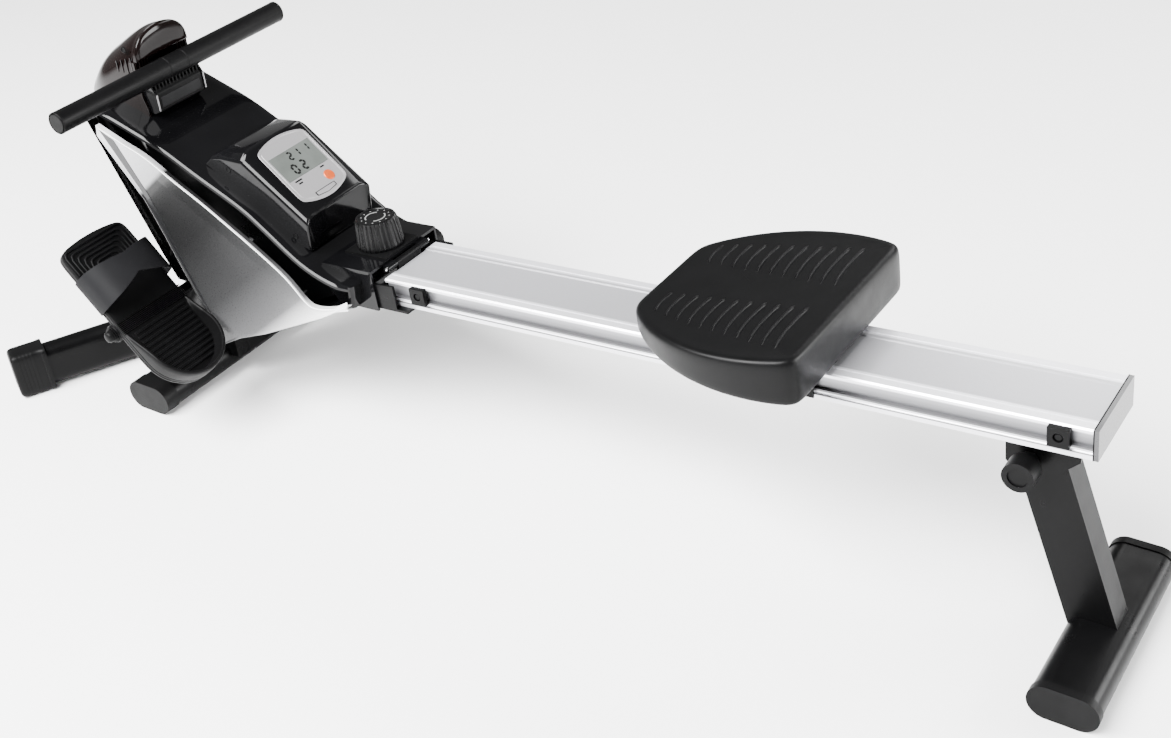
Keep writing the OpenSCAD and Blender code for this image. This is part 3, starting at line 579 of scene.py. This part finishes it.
def catmull(points, per_span=6):
    """A smooth open curve through points."""
    result = []
    count = len(points)
    for k in range(count - 1):
        p0, p1 = points[max(k - 1, 0)], points[k]
        p2, p3 = points[k + 1], points[min(k + 2, count - 1)]
        for n in range(per_span):
            t = n / per_span
            result.append(tuple(
                0.5 * (2 * p1[i] + (p2[i] - p0[i]) * t + (2 * p0[i] - 5 * p1[i] + 4 * p2[i] - p3[i]) * t * t
                       + (3 * p1[i] - p0[i] - 3 * p2[i] + p3[i]) * t ** 3) for i in range(2)))
    result.append(points[-1])
    return result


def make_shell():
    outline = catmull(SHELL_TOP + SHELL_FRONT, 5) + SHELL_BASE
    ys = [-98, -97.2, -94.8, -91, -80, -65, -50, -35, -20, -8, 8, 20, 35, 50, 65, 80, 91, 94.8, 97.2, 98]
    insets = {98: 7.0, 97.2: 3.6, 94.8: 1.2, 91: 0.0}
    ccw = outline[::-1] if signed_area(outline) < 0 else outline
    rings = []
    for y in ys:
        moved = shrink(ccw, insets.get(abs(y), 0.0))
        rings.append([nose_cut(x, y, z) for x, z in moved])
    shell = loft("shell_cover", rings, "black", "frame", 28, capped=False)
    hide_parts("centre_shell")


def signed_area(points):
    """Area of an outline, positive when it runs counter-clockwise."""
    return sum(points[k - 1][0] * points[k][1] - points[k][0] * points[k - 1][1]
               for k in range(len(points))) / 2


PANEL_TOP = [(-212, 259), (-251, 246), (-280, 240), (-298, 246), (-330, 279), (-381, 314), (-434, 346),
             (-477, 371), (-523, 395), (-576, 424.5), (-620, 440), (-671, 459)]
PANEL_FRONT = [(-675, 441), (-604, 347), (-581, 295), (-547, 210), (-506, 112)]
PANEL_BASE = [(-463, 135), (-404, 159), (-332, 194), (-271, 224)]
PANEL_LEVELS = ((0.0, 98.0), (0.0, 104.0), (0.8, 105.6), (2.2, 106.0), (3.4, 105.6), (4.6, 104.4),
                (7.0, 104.0))
RIM_LEVELS = ((0.0, 104.0), (0.1, 106.1), (1.2, 106.5), (2.4, 106.1), (2.9, 104.0), (0.0, 104.0))


def make_side_panels():
    top = catmull(PANEL_TOP, 5)
    outline = top + PANEL_FRONT + PANEL_BASE
    ccw = outline[::-1] if signed_area(outline) < 0 else outline
    upper = slice(-len(top), None) if ccw[0] != outline[0] else slice(0, len(top))
    for side, name, node in ((-1, "near", "side_panel_near"), (1, "far", "side_panel_far")):
        rings = [[place(x, side * y, z) for x, z in shrink(ccw, inward)] for inward, y in PANEL_LEVELS]
        panel = loft("side_panel_" + name, rings, "painted_shade_panel", "frame", 30)
        rim = [[place(x, side * y, z) for x, z in shrink(ccw, inward)[upper]]
               for inward, y in RIM_LEVELS]
        edge = loft("panel_rim_" + name, rim, "rim", "frame", 50, capped=False, looped=False)
        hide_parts(node)
        strip = [(-668, 452), (-600, 352), (-577, 300), (-543, 216), (-506, 122), (-512, 150), (-556, 262),
                 (-592, 358), (-640, 440)]
        low, high = sorted((side * 103.9, side * 104.7))
        blade = slab("panel_blade_" + name, strip, low, high, "blade", "frame", 0.3)


# ------------------------------------------------------------------ hood over the strap mouth

HOOD_RIDGE = [(-606.8, 592), (-625, 587), (-645, 577), (-670, 562), (-700, 543), (-724, 523), (-742, 502),
              (-751, 485)]


def hood_section(x, ridge, base, half, steps=24):
    """An arch: upright sides that turn over in a round crown."""
    crown = min(half, max(6.0, ridge - base - 2))
    points = []
    for k in range(steps + 1):
        a = math.pi * k / steps
        y = half * math.cos(a)
        power = 0.82
        rise = crown * abs(math.sin(a)) ** power
        points.append(place(x, y, ridge - crown + rise))
    return [place(x, half, base)] + points + [place(x, -half, base)]


def make_hood():
    path = catmull(HOOD_RIDGE, 4)
    rings = []
    for x, ridge in path:
        t = (x + 606.8) / -145.0
        half = 52.0 + 2.0 * math.sin(math.pi * min(1, t * 1.3)) - 24.0 * max(0, t - 0.55) ** 2 * 4
        base = 462 if x > -650 else 470
        base = 548.0 if x > -612.5 else base
        rings.append(hood_section(x, ridge, base, half))
    hood = loft("strap_hood", rings, "hood", "frame", 40, capped=False, looped=False)
    thick = hood.modifiers.new("wall", "SOLIDIFY")
    thick.thickness = 4.0 * MM
    thick.offset = -1.0
    soften(hood, 1.2, 2, 50)
    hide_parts("hood")
    hood_face()
    lining = [hood_section(x, z - 6, 470, 46) for x, z in ((-640, 578), (-700, 545))]
    inside = loft("hood_lining", lining, "grained", "frame", 40, looped=False)
    for side in (-1, 1):
        for k in range(4):
            block("hood_tooth_%d_%d" % (side + 1, k), (-612.5, side * (46 - 5 * k) - 1.2, 531 + 2 * k),
                  (-607.5, side * (46 - 5 * k) + 1.2, 552 + 2 * k), "hood", "frame", 0.5)
        for k in range(4):
            x = -652 + 11 * k
            block("hood_slit_%d_%d" % (side + 1, k), (x, side * 53.4 - 1.0, 528),
                  (x + 2.2, side * 53.4 + 1.0, 546 + 3 * k), "hood", "frame", 0.5)
        screw("hood_screw_%d" % (side + 1), place(-627, side * 53.6, 566), (0, side, 0), 5.0)
        cheek = [(-611.5, 548), (-611.5, 492), (-606, 474), (-606, 460), (-622, 460), (-622, 548)]
        slab("hood_cheek_%d" % (side + 1), cheek, side * 51.5 - 2.4, side * 51.5 + 2.4, "hood", "frame", 1.0)


def hood_face():
    """The half-disc that closes the hood above its mouth, slightly bulged towards the rower."""
    rim = hood_section(-607.0, 591.0, 549.0, 51.0)
    middle = place(-607.0, 0, 563)
    rings = []
    for scale, out in ((1.0, -1.0), (0.995, 1.0), (0.96, 2.4), (0.85, 3.6), (0.6, 4.8), (0.3, 5.4),
                       (0.02, 5.6)):
        ring = []
        for point in rim:
            moved = middle + (point - middle) * scale
            ring.append(Vector((moved.x + out * MM, moved.y, moved.z)))
        rings.append(ring)
    face = loft("hood_face", rings, "hood", "frame", 50)


def screw(name, centre, direction, radius):
    """A screw with a near-black head at the bottom of a round well."""
    turned(name + "_well", centre, direction,
           [(-1.5, radius * 0.75), (-1.4, radius * 0.78), (0.3, radius * 0.8), (0.6, radius * 0.9),
            (0.5, radius), (-0.5, radius * 1.04)], "grained", "frame", 32)
    turned(name + "_head", centre, direction,
           [(-1.5, radius * 0.7), (0.0, radius * 0.66), (0.25, radius * 0.55), (-0.6, radius * 0.25),
            (-0.8, 0.2)], "ink", "frame", 24)


def make_handle_rest():
    """Ribbed rest under the bar, with bright side edges and a grey front strip."""
    for k in range(13):
        y = -42 + 7 * k
        block("rest_rib_%d" % k, (-613, y - 1.6, 496), (-590, y + 1.6, 511), "grained", "frame", 0.8)
    core = slab("rest_core", [(-616, 464), (-616, 504), (-592, 504), (-587.5, 498), (-588, 470), (-598, 464)],
                -46, 46, "grained", "frame", 1.2)
    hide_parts("handle_rest")
    slab("rest_strip", [(-589.5, 474), (-588.5, 492), (-586.8, 491), (-587.2, 475)], -40, 40,
         "grey", "frame", 0.6)
    for side in (-1, 1):
        edge = [(-618, 468), (-618, 511), (-594, 512), (-585.5, 498), (-586, 471), (-597, 466)]
        slab("rest_edge_%d" % (side + 1), edge, side * 47.6 - 1.6, side * 47.6 + 1.6, "black", "frame", 0.8)
        slab("rest_bead_%d" % (side + 1), [(-587, 472), (-586.6, 498), (-584.8, 498), (-585.2, 472)],
             side * 47.6 - 1.3, side * 47.6 + 1.3, "bezel", "frame", 0.7)


# ------------------------------------------------------------------ stabilizer caps and axle nuts

FRONT_APEX = (-727.0, 41.0)
FRONT_SWEEP = math.radians(28)
FRONT_ARM = 279.0


def rounded_section(half_x, half_z, steps=40, power=0.32):
    """A rectangle with well rounded corners, as (x, z) points."""
    points = []
    for k in range(steps):
        a = 2 * math.pi * k / steps
        x = half_x * math.copysign(abs(math.cos(a)) ** power, math.cos(a))
        points.append((x, half_z * math.copysign(abs(math.sin(a)) ** power, math.sin(a))))
    return points


def make_front_caps():
    """Thick moulded caps with a collar, grip lines and a foot block, on both swept arms."""
    for side, name in ((-1, "near"), (1, "far")):
        def on_arm(x, along, z):
            px = FRONT_APEX[0] + x * math.cos(FRONT_SWEEP) - along * math.sin(FRONT_SWEEP)
            py = x * math.sin(FRONT_SWEEP) + along * math.cos(FRONT_SWEEP)
            return place(px, side * py, FRONT_APEX[1] + z)
        profile = [(-46, 0.96), (-46, 1.06), (-40, 1.08), (-38, 1.0), (-30, 1.0)]
        for k in range(5):
            profile += [(-26 + 6 * k, 1.0), (-24.6 + 6 * k, 1.015), (-23.4 + 6 * k, 1.015),
                        (-22 + 6 * k, 1.0)]
        profile += [(3, 1.0), (7, 0.975), (9.5, 0.92), (10.6, 0.84), (11, 0.7)]
        rings = [[on_arm(x, FRONT_ARM + along, z) for x, z in rounded_section(23 * grow, 40 * min(grow, 1.0))]
                 for along, grow in profile]
        cap = loft("front_cap_" + name, rings, "grained", "frame", 40)
        rings = [[on_arm(x, FRONT_ARM - 20 + along, z)
                  for x, z in ((-15, low), (15, low), (15, -30), (-15, -30))]
                 for along, low in ((-24, -40.6), (12, -40.6))]
        pad = soften(loft("front_pad_" + name, rings, "rubber", "frame", 25), 1.5)
        if side < 0:
            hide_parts("front_stabilizer_caps")


def make_axle_nuts():
    for side, name in ((-1, "near"), (1, "far")):
        nut = turned("cap_nut_" + name, place(AXLE_X, side * NUT_Y, AXLE_Z), (0, side, 0),
                     [(0, 8.6), (0, 10.5), (1.4, 10.5), (1.6, 9.0), (6.5, 8.8), (8.4, 7.4), (9.6, 4.6),
                      (10.0, 0.4)],
                     "grained", "frame", 32)
        if side < 0:
            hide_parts("axle_nuts")


# ------------------------------------------------------------------ console

CONSOLE_SIDE = [(-491, 414), (-474, 428), (-452, 432), (-409.5, 432), (-298, 354), (-302, 308), (-333, 316),
                (-419, 375)]
CONSOLE_CROWN = [(-491, 414), (-474, 431), (-448, 441), (-408, 446), (-303, 362), (-302, 308), (-333, 316),
                 (-419, 375)]
FACE_AT = (-384.3, 426.1)
FACE_TILT = math.atan2(28.5, 35.6)


def on_face(u, y, w):
    """A point on the console's sloping face: down the face, across it and out of it."""
    x = FACE_AT[0] + u * math.cos(FACE_TILT) + w * math.sin(FACE_TILT)
    z = FACE_AT[1] - u * math.sin(FACE_TILT) + w * math.cos(FACE_TILT)
    return place(x, y, z)


def make_console():
    rings = []
    for y, t in ((-70, 0.0), (-66, 0.35), (-60, 0.75), (-53, 1.0), (53, 1.0), (60, 0.75), (66, 0.35),
                 (70, 0.0)):
        rings.append([place(a[0] * (1 - t) + b[0] * t, y, a[1] * (1 - t) + b[1] * t)
                      for a, b in zip(CONSOLE_SIDE, CONSOLE_CROWN)])
    case = loft("console_housing", rings, "black", "frame", 24)
    soften(case, 5.0, 5, 28)
    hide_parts("console_case")
    for side in (-1, 1):
        screw("console_screw_top_%d" % (side + 1), place(-440, side * 70, 414), (0, side, 0), 4.5)
        screw("console_screw_low_%d" % (side + 1), place(-328, side * 70, 330), (0, side, 0), 4.5)


def bezel_outline():
    """Face plate outline: straight sides, arched top and bottom edges."""
    points = []
    for k in range(25):
        y = -50 + 100 * k / 24
        points.append((-27 + 10.5 * (y / 50) ** 2, y))
    for k in range(25):
        y = 50 - 100 * k / 24
        points.append((93 - 13 * (y / 50) ** 2, y))
    return relax(resample(points, 160), 10)


def make_bezel():
    base = bezel_outline()
    sign = 1 if signed_area(base) > 0 else -1
    rings = []
    for inward, w in ((0.0, -2.0), (0.0, 0.6), (0.5, 1.3), (1.4, 1.6), (4.0, 1.6), (4.4, 1.3), (4.9, 1.3),
                      (5.3, 1.6), (8.0, 1.6)):
        rings.append([on_face(u, y, w) for u, y in shrink(base, inward * sign)])
    plate = loft("console_face", rings, "bezel", "frame", 30)
    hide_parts("console_bezel")
    frame_points = [(0, -42.2), (45.6, -42.2), (45.6, 42.2), (0, 42.2)]
    window = loft("screen_window", [[on_face(u, y, 1.0) for u, y in frame_points],
                                    [on_face(u, y, 2.0) for u, y in frame_points]], "lcd", "frame", 25)
    soften(window, 0.4, 2)
    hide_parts("console_screen")
    for name, grow, w, look in (("bezel_notch", 1.9, 2.2, "ink"), ("bezel_tab", 0.0, 2.5, "bezel")):
        outline = [(79 - grow, -19 - grow), (84, -19 - grow), (86.5, 0), (84, 19 + grow),
                   (79 - grow, 19 + grow)]
        rings = [[on_face(u + grow * 0.4, y, level) for u, y in outline] for level in (1.0, w)]
        soften(loft(name, rings, look, "frame", 25), 0.5)
    for k, (u, y) in enumerate(((49.5, -30), (49.5, -24), (49.5, 24), (54.5, -27))):
        label_bar("bezel_mark_%d" % k, u, y, 1.2, 4.0)


def label_bar(name, u, y, half_u, half_y):
    corners = [(u + a * half_u, y + b * half_y) for a, b in ((-1, -1), (1, -1), (1, 1), (-1, 1))]
    rings = [[on_face(a, b, level) for a, b in corners] for level in (1.5, 1.75)]
    loft(name, rings, "ink", "frame", 25)


SEGMENTS = {"0": "abcdef", "1": "bc", "2": "abged"}


def segment(name, digit_u, digit_y, which, height):
    """One bar of a seven-segment digit. u runs down the face and y across it."""
    half = height / 2
    width = height * 0.52
    thick = height * 0.115
    places = {"a": (0, 0, 1), "g": (half, 0, 1), "d": (height, 0, 1), "f": (half / 2, -1, 0),
              "b": (half / 2, 1, 0), "e": (half * 1.5, -1, 0), "c": (half * 1.5, 1, 0)}
    du, side, flat = places[which]
    u = digit_u + du
    y = digit_y + side * width / 2
    long_half = (width / 2 if flat else half / 2) * 0.9
    if flat:
        corners = [(u - thick, y - long_half + thick), (u, y - long_half), (u + thick, y - long_half + thick),
                   (u + thick, y + long_half - thick), (u, y + long_half), (u - thick, y + long_half - thick)]
    else:
        corners = [(u - long_half, y), (u - long_half + thick, y + thick), (u + long_half - thick, y + thick),
                   (u + long_half, y), (u + long_half - thick, y - thick), (u - long_half + thick, y - thick)]
    loft(name, [[on_face(a, b, level) for a, b in corners] for level in (1.9, 2.2)], "ink", "frame", 25)


def make_digits():
    rows = [(5.0, [("2", -6.0), ("1", 8.0), ("1", 27.0)], 12.5), (25.0, [("0", -16.0), ("2", 2.0)], 15.0)]
    for row, (u, digits, height) in enumerate(rows):
        for column, (digit, y) in enumerate(digits):
            for which in SEGMENTS[digit]:
                segment("digit_%d_%d_%s" % (row, column, which), u, y, which, height)
    for k in range(4):
        label_bar("scale_mark_%d" % k, 15.0 + 3.0 * k, -36, 0.8, 2.6)
    for k in range(2):
        label_bar("colon_dot_%d" % k, 29.5 + 6.0 * k, -7.5, 0.9, 0.9)


def make_button():
    centre = on_face(66, 23, 0)
    out = on_face(66, 23, 1) - centre
    cap = turned("start_button", centre, out,
                 [(-4, 9.0), (1.0, 9.0), (2.2, 8.6), (2.9, 7.6), (3.0, 6.4), (2.7, 4.6), (2.5, 2.4),
                  (2.45, 0.3)],
                 "orange", "button", 48, 60)
    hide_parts("console_button")


# ------------------------------------------------------------------ tension knob

KNOB_U = -1065.0


def make_knob():
    axis = on_rail(KNOB_U, 0, 1) - on_rail(KNOB_U, 0, 0)
    side = Vector((0, 1, 0))
    ahead = side.cross(axis).normalized()
    base = on_rail(KNOB_U, 0, 19.4)
    profile = [(0.0, 33.5), (1.5, 35.0), (4.0, 35.2), (6.0, 34.6), (20.0, 33.2), (36.0, 31.6), (40.5, 30.8),
               (43.0, 29.2), (43.8, 27.5), (43.8, 25.6), (42.6, 24.8), (42.3, 20.0), (42.3, 8.0), (42.3, 0.5)]
    ribs = 28
    steps = ribs * 8
    rings = []
    for height, radius in profile:
        ring = []
        for k in range(steps):
            a = 2 * math.pi * k / steps
            ridge = max(0.0, math.cos(a * ribs))
            depth = 1.5 if 1.0 < height < 42.0 and radius > 26 else 0.0
            r = radius - depth * (1 - ridge)
            ring.append(base + axis * height + (side * math.cos(a) + ahead * math.sin(a)) * r * MM)
        rings.append(ring)
    knob = loft("resistance_knob", rings, "knob", "tension", 30)
    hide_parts("tension_knob")
    dial = base + axis * 42.3
    for n, start in enumerate((25, 205)):
        arc_mark("knob_arc_%d" % n, dial, axis, side, ahead, start, start + 125, 14.5)
    for k in range(12):
        arc_mark("knob_tick_%d" % k, dial, axis, side, ahead, 30 * k - 2.5, 30 * k + 2.5, 21.0)


def arc_mark(name, centre, axis, side, ahead, start, stop, radius, half=0.9):
    """A thin raised arc, printed on a round face."""
    rings = []
    steps = max(2, int((stop - start) / 8))
    for k in range(steps + 1):
        a = math.radians(start + (stop - start) * k / steps)
        out = side * math.cos(a) + ahead * math.sin(a)
        rings.append([centre + out * (radius + r) * MM + axis * h for r, h in
                      ((-half, -0.1), (half, -0.1), (half, 0.35), (-half, 0.35))])
    loft(name, rings, "print", "tension", 40)


# ------------------------------------------------------------------ pedals

PEDAL_IN, PEDAL_OUT = 113.0, 243.4
PEDAL_MID = (PEDAL_IN + PEDAL_OUT) / 2
PEDAL_TILT = math.radians(46)
STRAP_WALL = 2.08


def on_pedal(side):
    """Places points of a foot plate: along it (heel positive), across it, and out of its face."""
    def at(u, v, w):
        x = AXLE_X + u * math.cos(PEDAL_TILT) + w * math.sin(PEDAL_TILT)
        z = AXLE_Z - u * math.sin(PEDAL_TILT) + w * math.cos(PEDAL_TILT)
        return place(x, side * (PEDAL_MID + v), z)
    return at


def plate_outline(half=64.0, toe=146.0, heel=133.0):
    points = []
    for k in range(19):
        a = math.pi * k / 18
        points.append((heel - half + half * math.sin(a), -half * math.cos(a)))
    for k in range(13):
        v = half - 2 * half * k / 12
        points.append((-toe + 7 * (v / half) ** 2, v * 0.97))
    return relax(resample(points, 150), 8)


def make_pedal(side, name):
    at = on_pedal(side)
    body = "pedal_" + name
    plan = plate_outline()
    ccw = plan if signed_area(plan) > 0 else plan[::-1]
    levels = [(8, 6.5), (3, 7.5), (0.5, 9.5), (0, 12.5), (0.9, 13.2), (0.9, 14.4), (0, 15.2), (0, 19.0),
              (0.9, 19.7), (0.9, 20.9), (0, 21.6), (0.6, 23.4), (3, 24.4), (8, 24.6)]
    rings = [[at(u, v, w) for u, v in shrink(ccw, inward)] for inward, w in levels]
    plate = loft("foot_plate_%s_body" % name, rings, "grained", body, 35)
    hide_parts("foot_plate_" + name)
    for k in range(11):
        u = 20 + 8.9 * k
        reach = 51.0 if u < 69 else math.sqrt(max(9.0, 53 ** 2 - (u - 69) ** 2))
        block("heel_rib_%s_%d" % (name, k), (u, -reach, 24.0), (u + 3.6, reach, 27.0),
              "grained", body, 0.9, at)
    for k in range(7):
        toe_rib(name, k, 5 + 7.0 * k, at, body)
    for k in range(8):
        u = -6 + 2.6 * k
        block("axle_rib_%s_%d" % (name, k), (u, -65, 22.0), (u + 1.2, 65, 27.5), "grained", body, 0.4, at)
    boss = turned("axle_boss_" + name, at(0, -65, 0), (0, side, 0),
                  [(0, 9), (0, 13.5), (2, 14.5), (128, 14.5), (130, 13.5), (130, 9)], "grained", body, 40)
    heel_cup(name, at, body)
    foot_strap(name, at, body)
    turned("axle_washer_" + name, place(AXLE_X, side * NUT_Y, AXLE_Z), (0, side, 0),
           [(-2.5, 8.4), (-2.5, 12.5), (-1.0, 12.5), (-1.0, 8.4)], "grained", "frame", 32)


def toe_rib(name, k, inset, at, body):
    """A rib that runs across the toe and back along both sides, nested inside the last one."""
    half = 62.0 - inset
    tip = -142.0 + inset
    end = -100.0 + inset * 0.6
    line = [(end, -half), (tip + 9, -half), (tip + 2.5, -half + 3), (tip, -half + 9), (tip, 0),
            (tip, half - 9), (tip + 2.5, half - 3), (tip + 9, half), (end, half)]
    rings = []
    for n, (u, v) in enumerate(line):
        before = line[max(0, n - 1)]
        after = line[min(len(line) - 1, n + 1)]
        length = math.hypot(after[0] - before[0], after[1] - before[1])
        nu, nv = -(after[1] - before[1]) / length, (after[0] - before[0]) / length
        rings.append([at(u + nu * s * 1.7, v + nv * s * 1.7, w) for s, w in
                      ((-1, 23.8), (-1, 26.2), (-0.5, 26.9), (0.5, 26.9), (1, 26.2), (1, 23.8))])
    loft("toe_rib_%s_%d" % (name, k), rings, "grained", body, 45)


def heel_cup(name, at, body):
    """The raised wall round the heel, tall at the back and falling away towards the axle."""
    rings = []
    steps = 40
    half = 64.0
    for k in range(steps + 1):
        t = k / steps
        if t < 0.25:
            u, v, nu, nv = 14 + (55 * t / 0.25), -half, 0, -1
        elif t > 0.75:
            u, v, nu, nv = 69 - 55 * (t - 0.75) / 0.25, half, 0, 1
        else:
            a = math.pi * (t - 0.25) / 0.5
            u, v, nu, nv = 69 + half * math.sin(a), -half * math.cos(a), math.sin(a), -math.cos(a)
        rise = 25.0 * min(1.0, math.sin(min(1.0, 2.6 * min(t, 1 - t) + 0.02) * math.pi / 2)) ** 1.3
        section = [(-0.2, 22.0), (0.6, 24 + rise * 0.6), (0.2, 23 + rise), (-1.0, 24.8 + rise),
                   (-3.2, 25.2 + rise), (-5.2, 24 + rise), (-6.2, 22.5 + rise * 0.7), (-9.5, 23.5)]
        rings.append([at(u + nu * s, v + nv * s, w) for s, w in section])
    wall = loft("heel_cup_" + name, rings, "grained", body, 50)


def foot_strap(name, at, body):
    """A broad moulded strap over the toes: flat crown, bent shoulders and a narrower front edge."""
    profile = [(-65, 12), (-65.4, 26), (-61, 44), (-47, 58), (-26, 65), (0, 67), (26, 65), (47, 58), (61, 44),
               (65.4, 26), (65, 12)]
    curve = catmull(profile, 4)
    rings = []
    for v, w in curve:
        t = min(1.0, abs(v) / 65.4)
        front = -92 + 8 * (1 - t)
        back = -30 - 18 * (1 - t) ** 1.5
        nv = v / 70.0
        nw = math.sqrt(max(0.05, 1 - nv * nv))
        outer_v = v + nv * STRAP_WALL
        outer_w = w + nw * STRAP_WALL
        rings.append([at(front, v, w), at(front, outer_v, outer_w), at(back, outer_v, outer_w),
                      at(back, v, w)])
    strap = loft("toe_strap_" + name, rings, "strap", body, 40)
    soften(strap, 0.7, 2, 40)
    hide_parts("foot_strap_" + name)


# ------------------------------------------------------------------ handle and pull strap

def make_strap():
    """The webbing from the guide roller to the bar."""
    rings = []
    for k in range(25):
        x = -630 + 23.4 * k / 24
        rings.append([place(x, y, z) for y, z in ((-17, 527.0), (17, 527.0), (17, 528.6), (-17, 528.6))])
    strap = loft("pull_webbing", rings, "webbing", None, 30)
    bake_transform(strap)
    down = [[place(x, y, 515) for x, y in ((-641.8, -17), (-641.8, 17), (-640.9, 17), (-640.9, -17))]]
    for k in range(9):
        a = math.radians(180 - 90 * k / 8)
        inner = [place(-630 + r * math.cos(a), y, 516 + r * math.sin(a)) for r, y in
                 ((12.6, -17), (12.6, 17), (11.0, 17), (11.0, -17))]
        down.append(inner)
    wrap = loft("strap_bend", down, "webbing", "frame", 40)
    foot = [place(x, y, 404) for x, y in ((-635.3, -17), (-635.3, 17), (-633.7, 17), (-633.7, -17))]
    reach = loft("strap_drop", [foot, down[0]], "webbing", "frame", 40)
    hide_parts("pull_strap")


def make_handle_details():
    for side, name in ((-1, "near"), (1, "far")):
        turned("bar_end_" + name, place(BAR_X, side * 222, BAR_Z), (0, side, 0),
               [(0, 16.4), (1.2, 16.5), (3.2, 16.3), (4.0, 15.4), (4.0, 13.6), (3.0, 12.9), (2.8, 8.0),
                (2.8, 0.4)],
               "grained", "handle", 48)
        turned("sleeve_seam_" + name, place(BAR_X, side * 17.7, BAR_Z), (0, side, 0),
               [(-0.9, 16.6), (-0.6, 16.95), (0.6, 16.95), (0.9, 16.6)], "grained", "handle", 48)


# ------------------------------------------------------------------ looks and assembly

make_camera()
make_studio()
looks = {
    "black": gloss_black(),
    "powder": powder_coat(),
    "grained": grained_black(),
    "grey": grained_black("grey_plastic", (0.01, 0.01, 0.0105)),
    "silver": silver_paint(),
    # Side panel silver, with painted shade and painted reflection in its colour
    "painted_shade_panel": painted_shade_silver(),
    "cap": silver_paint("end_cap_grey", (0.05, 0.05, 0.052)),
    "steel": plated_steel(),
    "rubber": rubber(),
    "grip": rubber("foam_grip", (0.0016, 0.0016, 0.0017), (0.36, 0.44)),
    "webbing": woven(),
    # Rail aluminium, with painted shade in its side grooves
    "rail": anodised(),
    "board": grained_black("board_green", (0.02, 0.12, 0.05)),
    "orange": silver_paint("orange_button", (0.4, 0.055, 0.002), (0.4, 0.5)),
    "lcd": grained_black("lcd_glass", (0.055, 0.06, 0.056), (0.1, 0.2), 60, 0.02),
    "seat": grained_black("seat_skin", (0.0013, 0.0013, 0.0014), (0.34, 0.42), 1100, 0.12, 0.1),
    "rim": silver_paint("bright_rim", (0.9, 0.9, 0.91), (0.2, 0.3)),
    "blade": silver_paint("grey_strip", (0.014, 0.014, 0.015), (0.3, 0.42)),
    "hood": gloss_black("hood_black", (0.0022, 0.0011, 0.001)),
    "bezel": silver_paint("bezel_silver", (0.21, 0.205, 0.21), (0.36, 0.46)),
    "ink": grained_black("lcd_ink", (0.002, 0.002, 0.002), (0.4, 0.5), 200, 0.02, 0.1),
    "knob": grained_black("knob_black", (0.0015, 0.0015, 0.0016), (0.24, 0.34), 900, 0.1, 0.14),
    "print": grained_black("white_print", (0.12, 0.12, 0.12), (0.5, 0.6), 300, 0.05),
    "strap": rubber("strap_rubber", (0.005, 0.005, 0.0055), (0.5, 0.6)),
}
NODE_LOOKS = {
    "powder": ("main_frame pedal_axle axle_nuts front_stabilizer middle_stabilizer handle_tube "
               "rail_shoe seat_carriage leg_bracket rear_leg"),
    "grained": ("front_stabilizer_caps middle_stabilizer_caps knob_plate tension_knob "
                "handle_end_plugs foot_plate_near foot_plate_far rail_stops seat_pad rear_foot_caps "
                "leg_lock_knob fold_lock_knob"),
    "black": "rail_bracket centre_shell hood console_case",
    "steel": ("hinge_pin flywheel_axle flywheel_bearings flywheel flywheel_pulley reel_axle "
              "recoil_spring cross_pins magnet_arm brake_magnets leg_pivot_bolt"),
    "silver": "side_panel_near side_panel_far console_bezel",
    "grey": ("handle_rest strap_reel guide_roller foot_strap_near foot_strap_far front_rollers "
             "rear_rollers guide_rollers_front guide_rollers_rear"),
    "lcd": "console_screen",
    "board": "circuit_board",
    "orange": "console_button",
    "rubber": "tension_cable drive_belt rail_end_gasket",
    "webbing": "pull_strap",
    "grip": "handle_sleeve handle_grips",
    "rail": "rail",
    "cap": "rail_end_cap",
}
for look, names in NODE_LOOKS.items():
    for name in names.split():
        mesh = nodes[name].data
        mesh.materials.clear()
        mesh.materials.append(looks[look])

make_seat()
make_shell()
make_side_panels()
make_hood()
make_handle_rest()
make_console()
make_bezel()
make_digits()
make_button()
make_knob()
make_pedal(-1, "near")
make_pedal(1, "far")
make_strap()
make_handle_details()
make_front_caps()
make_axle_nuts()
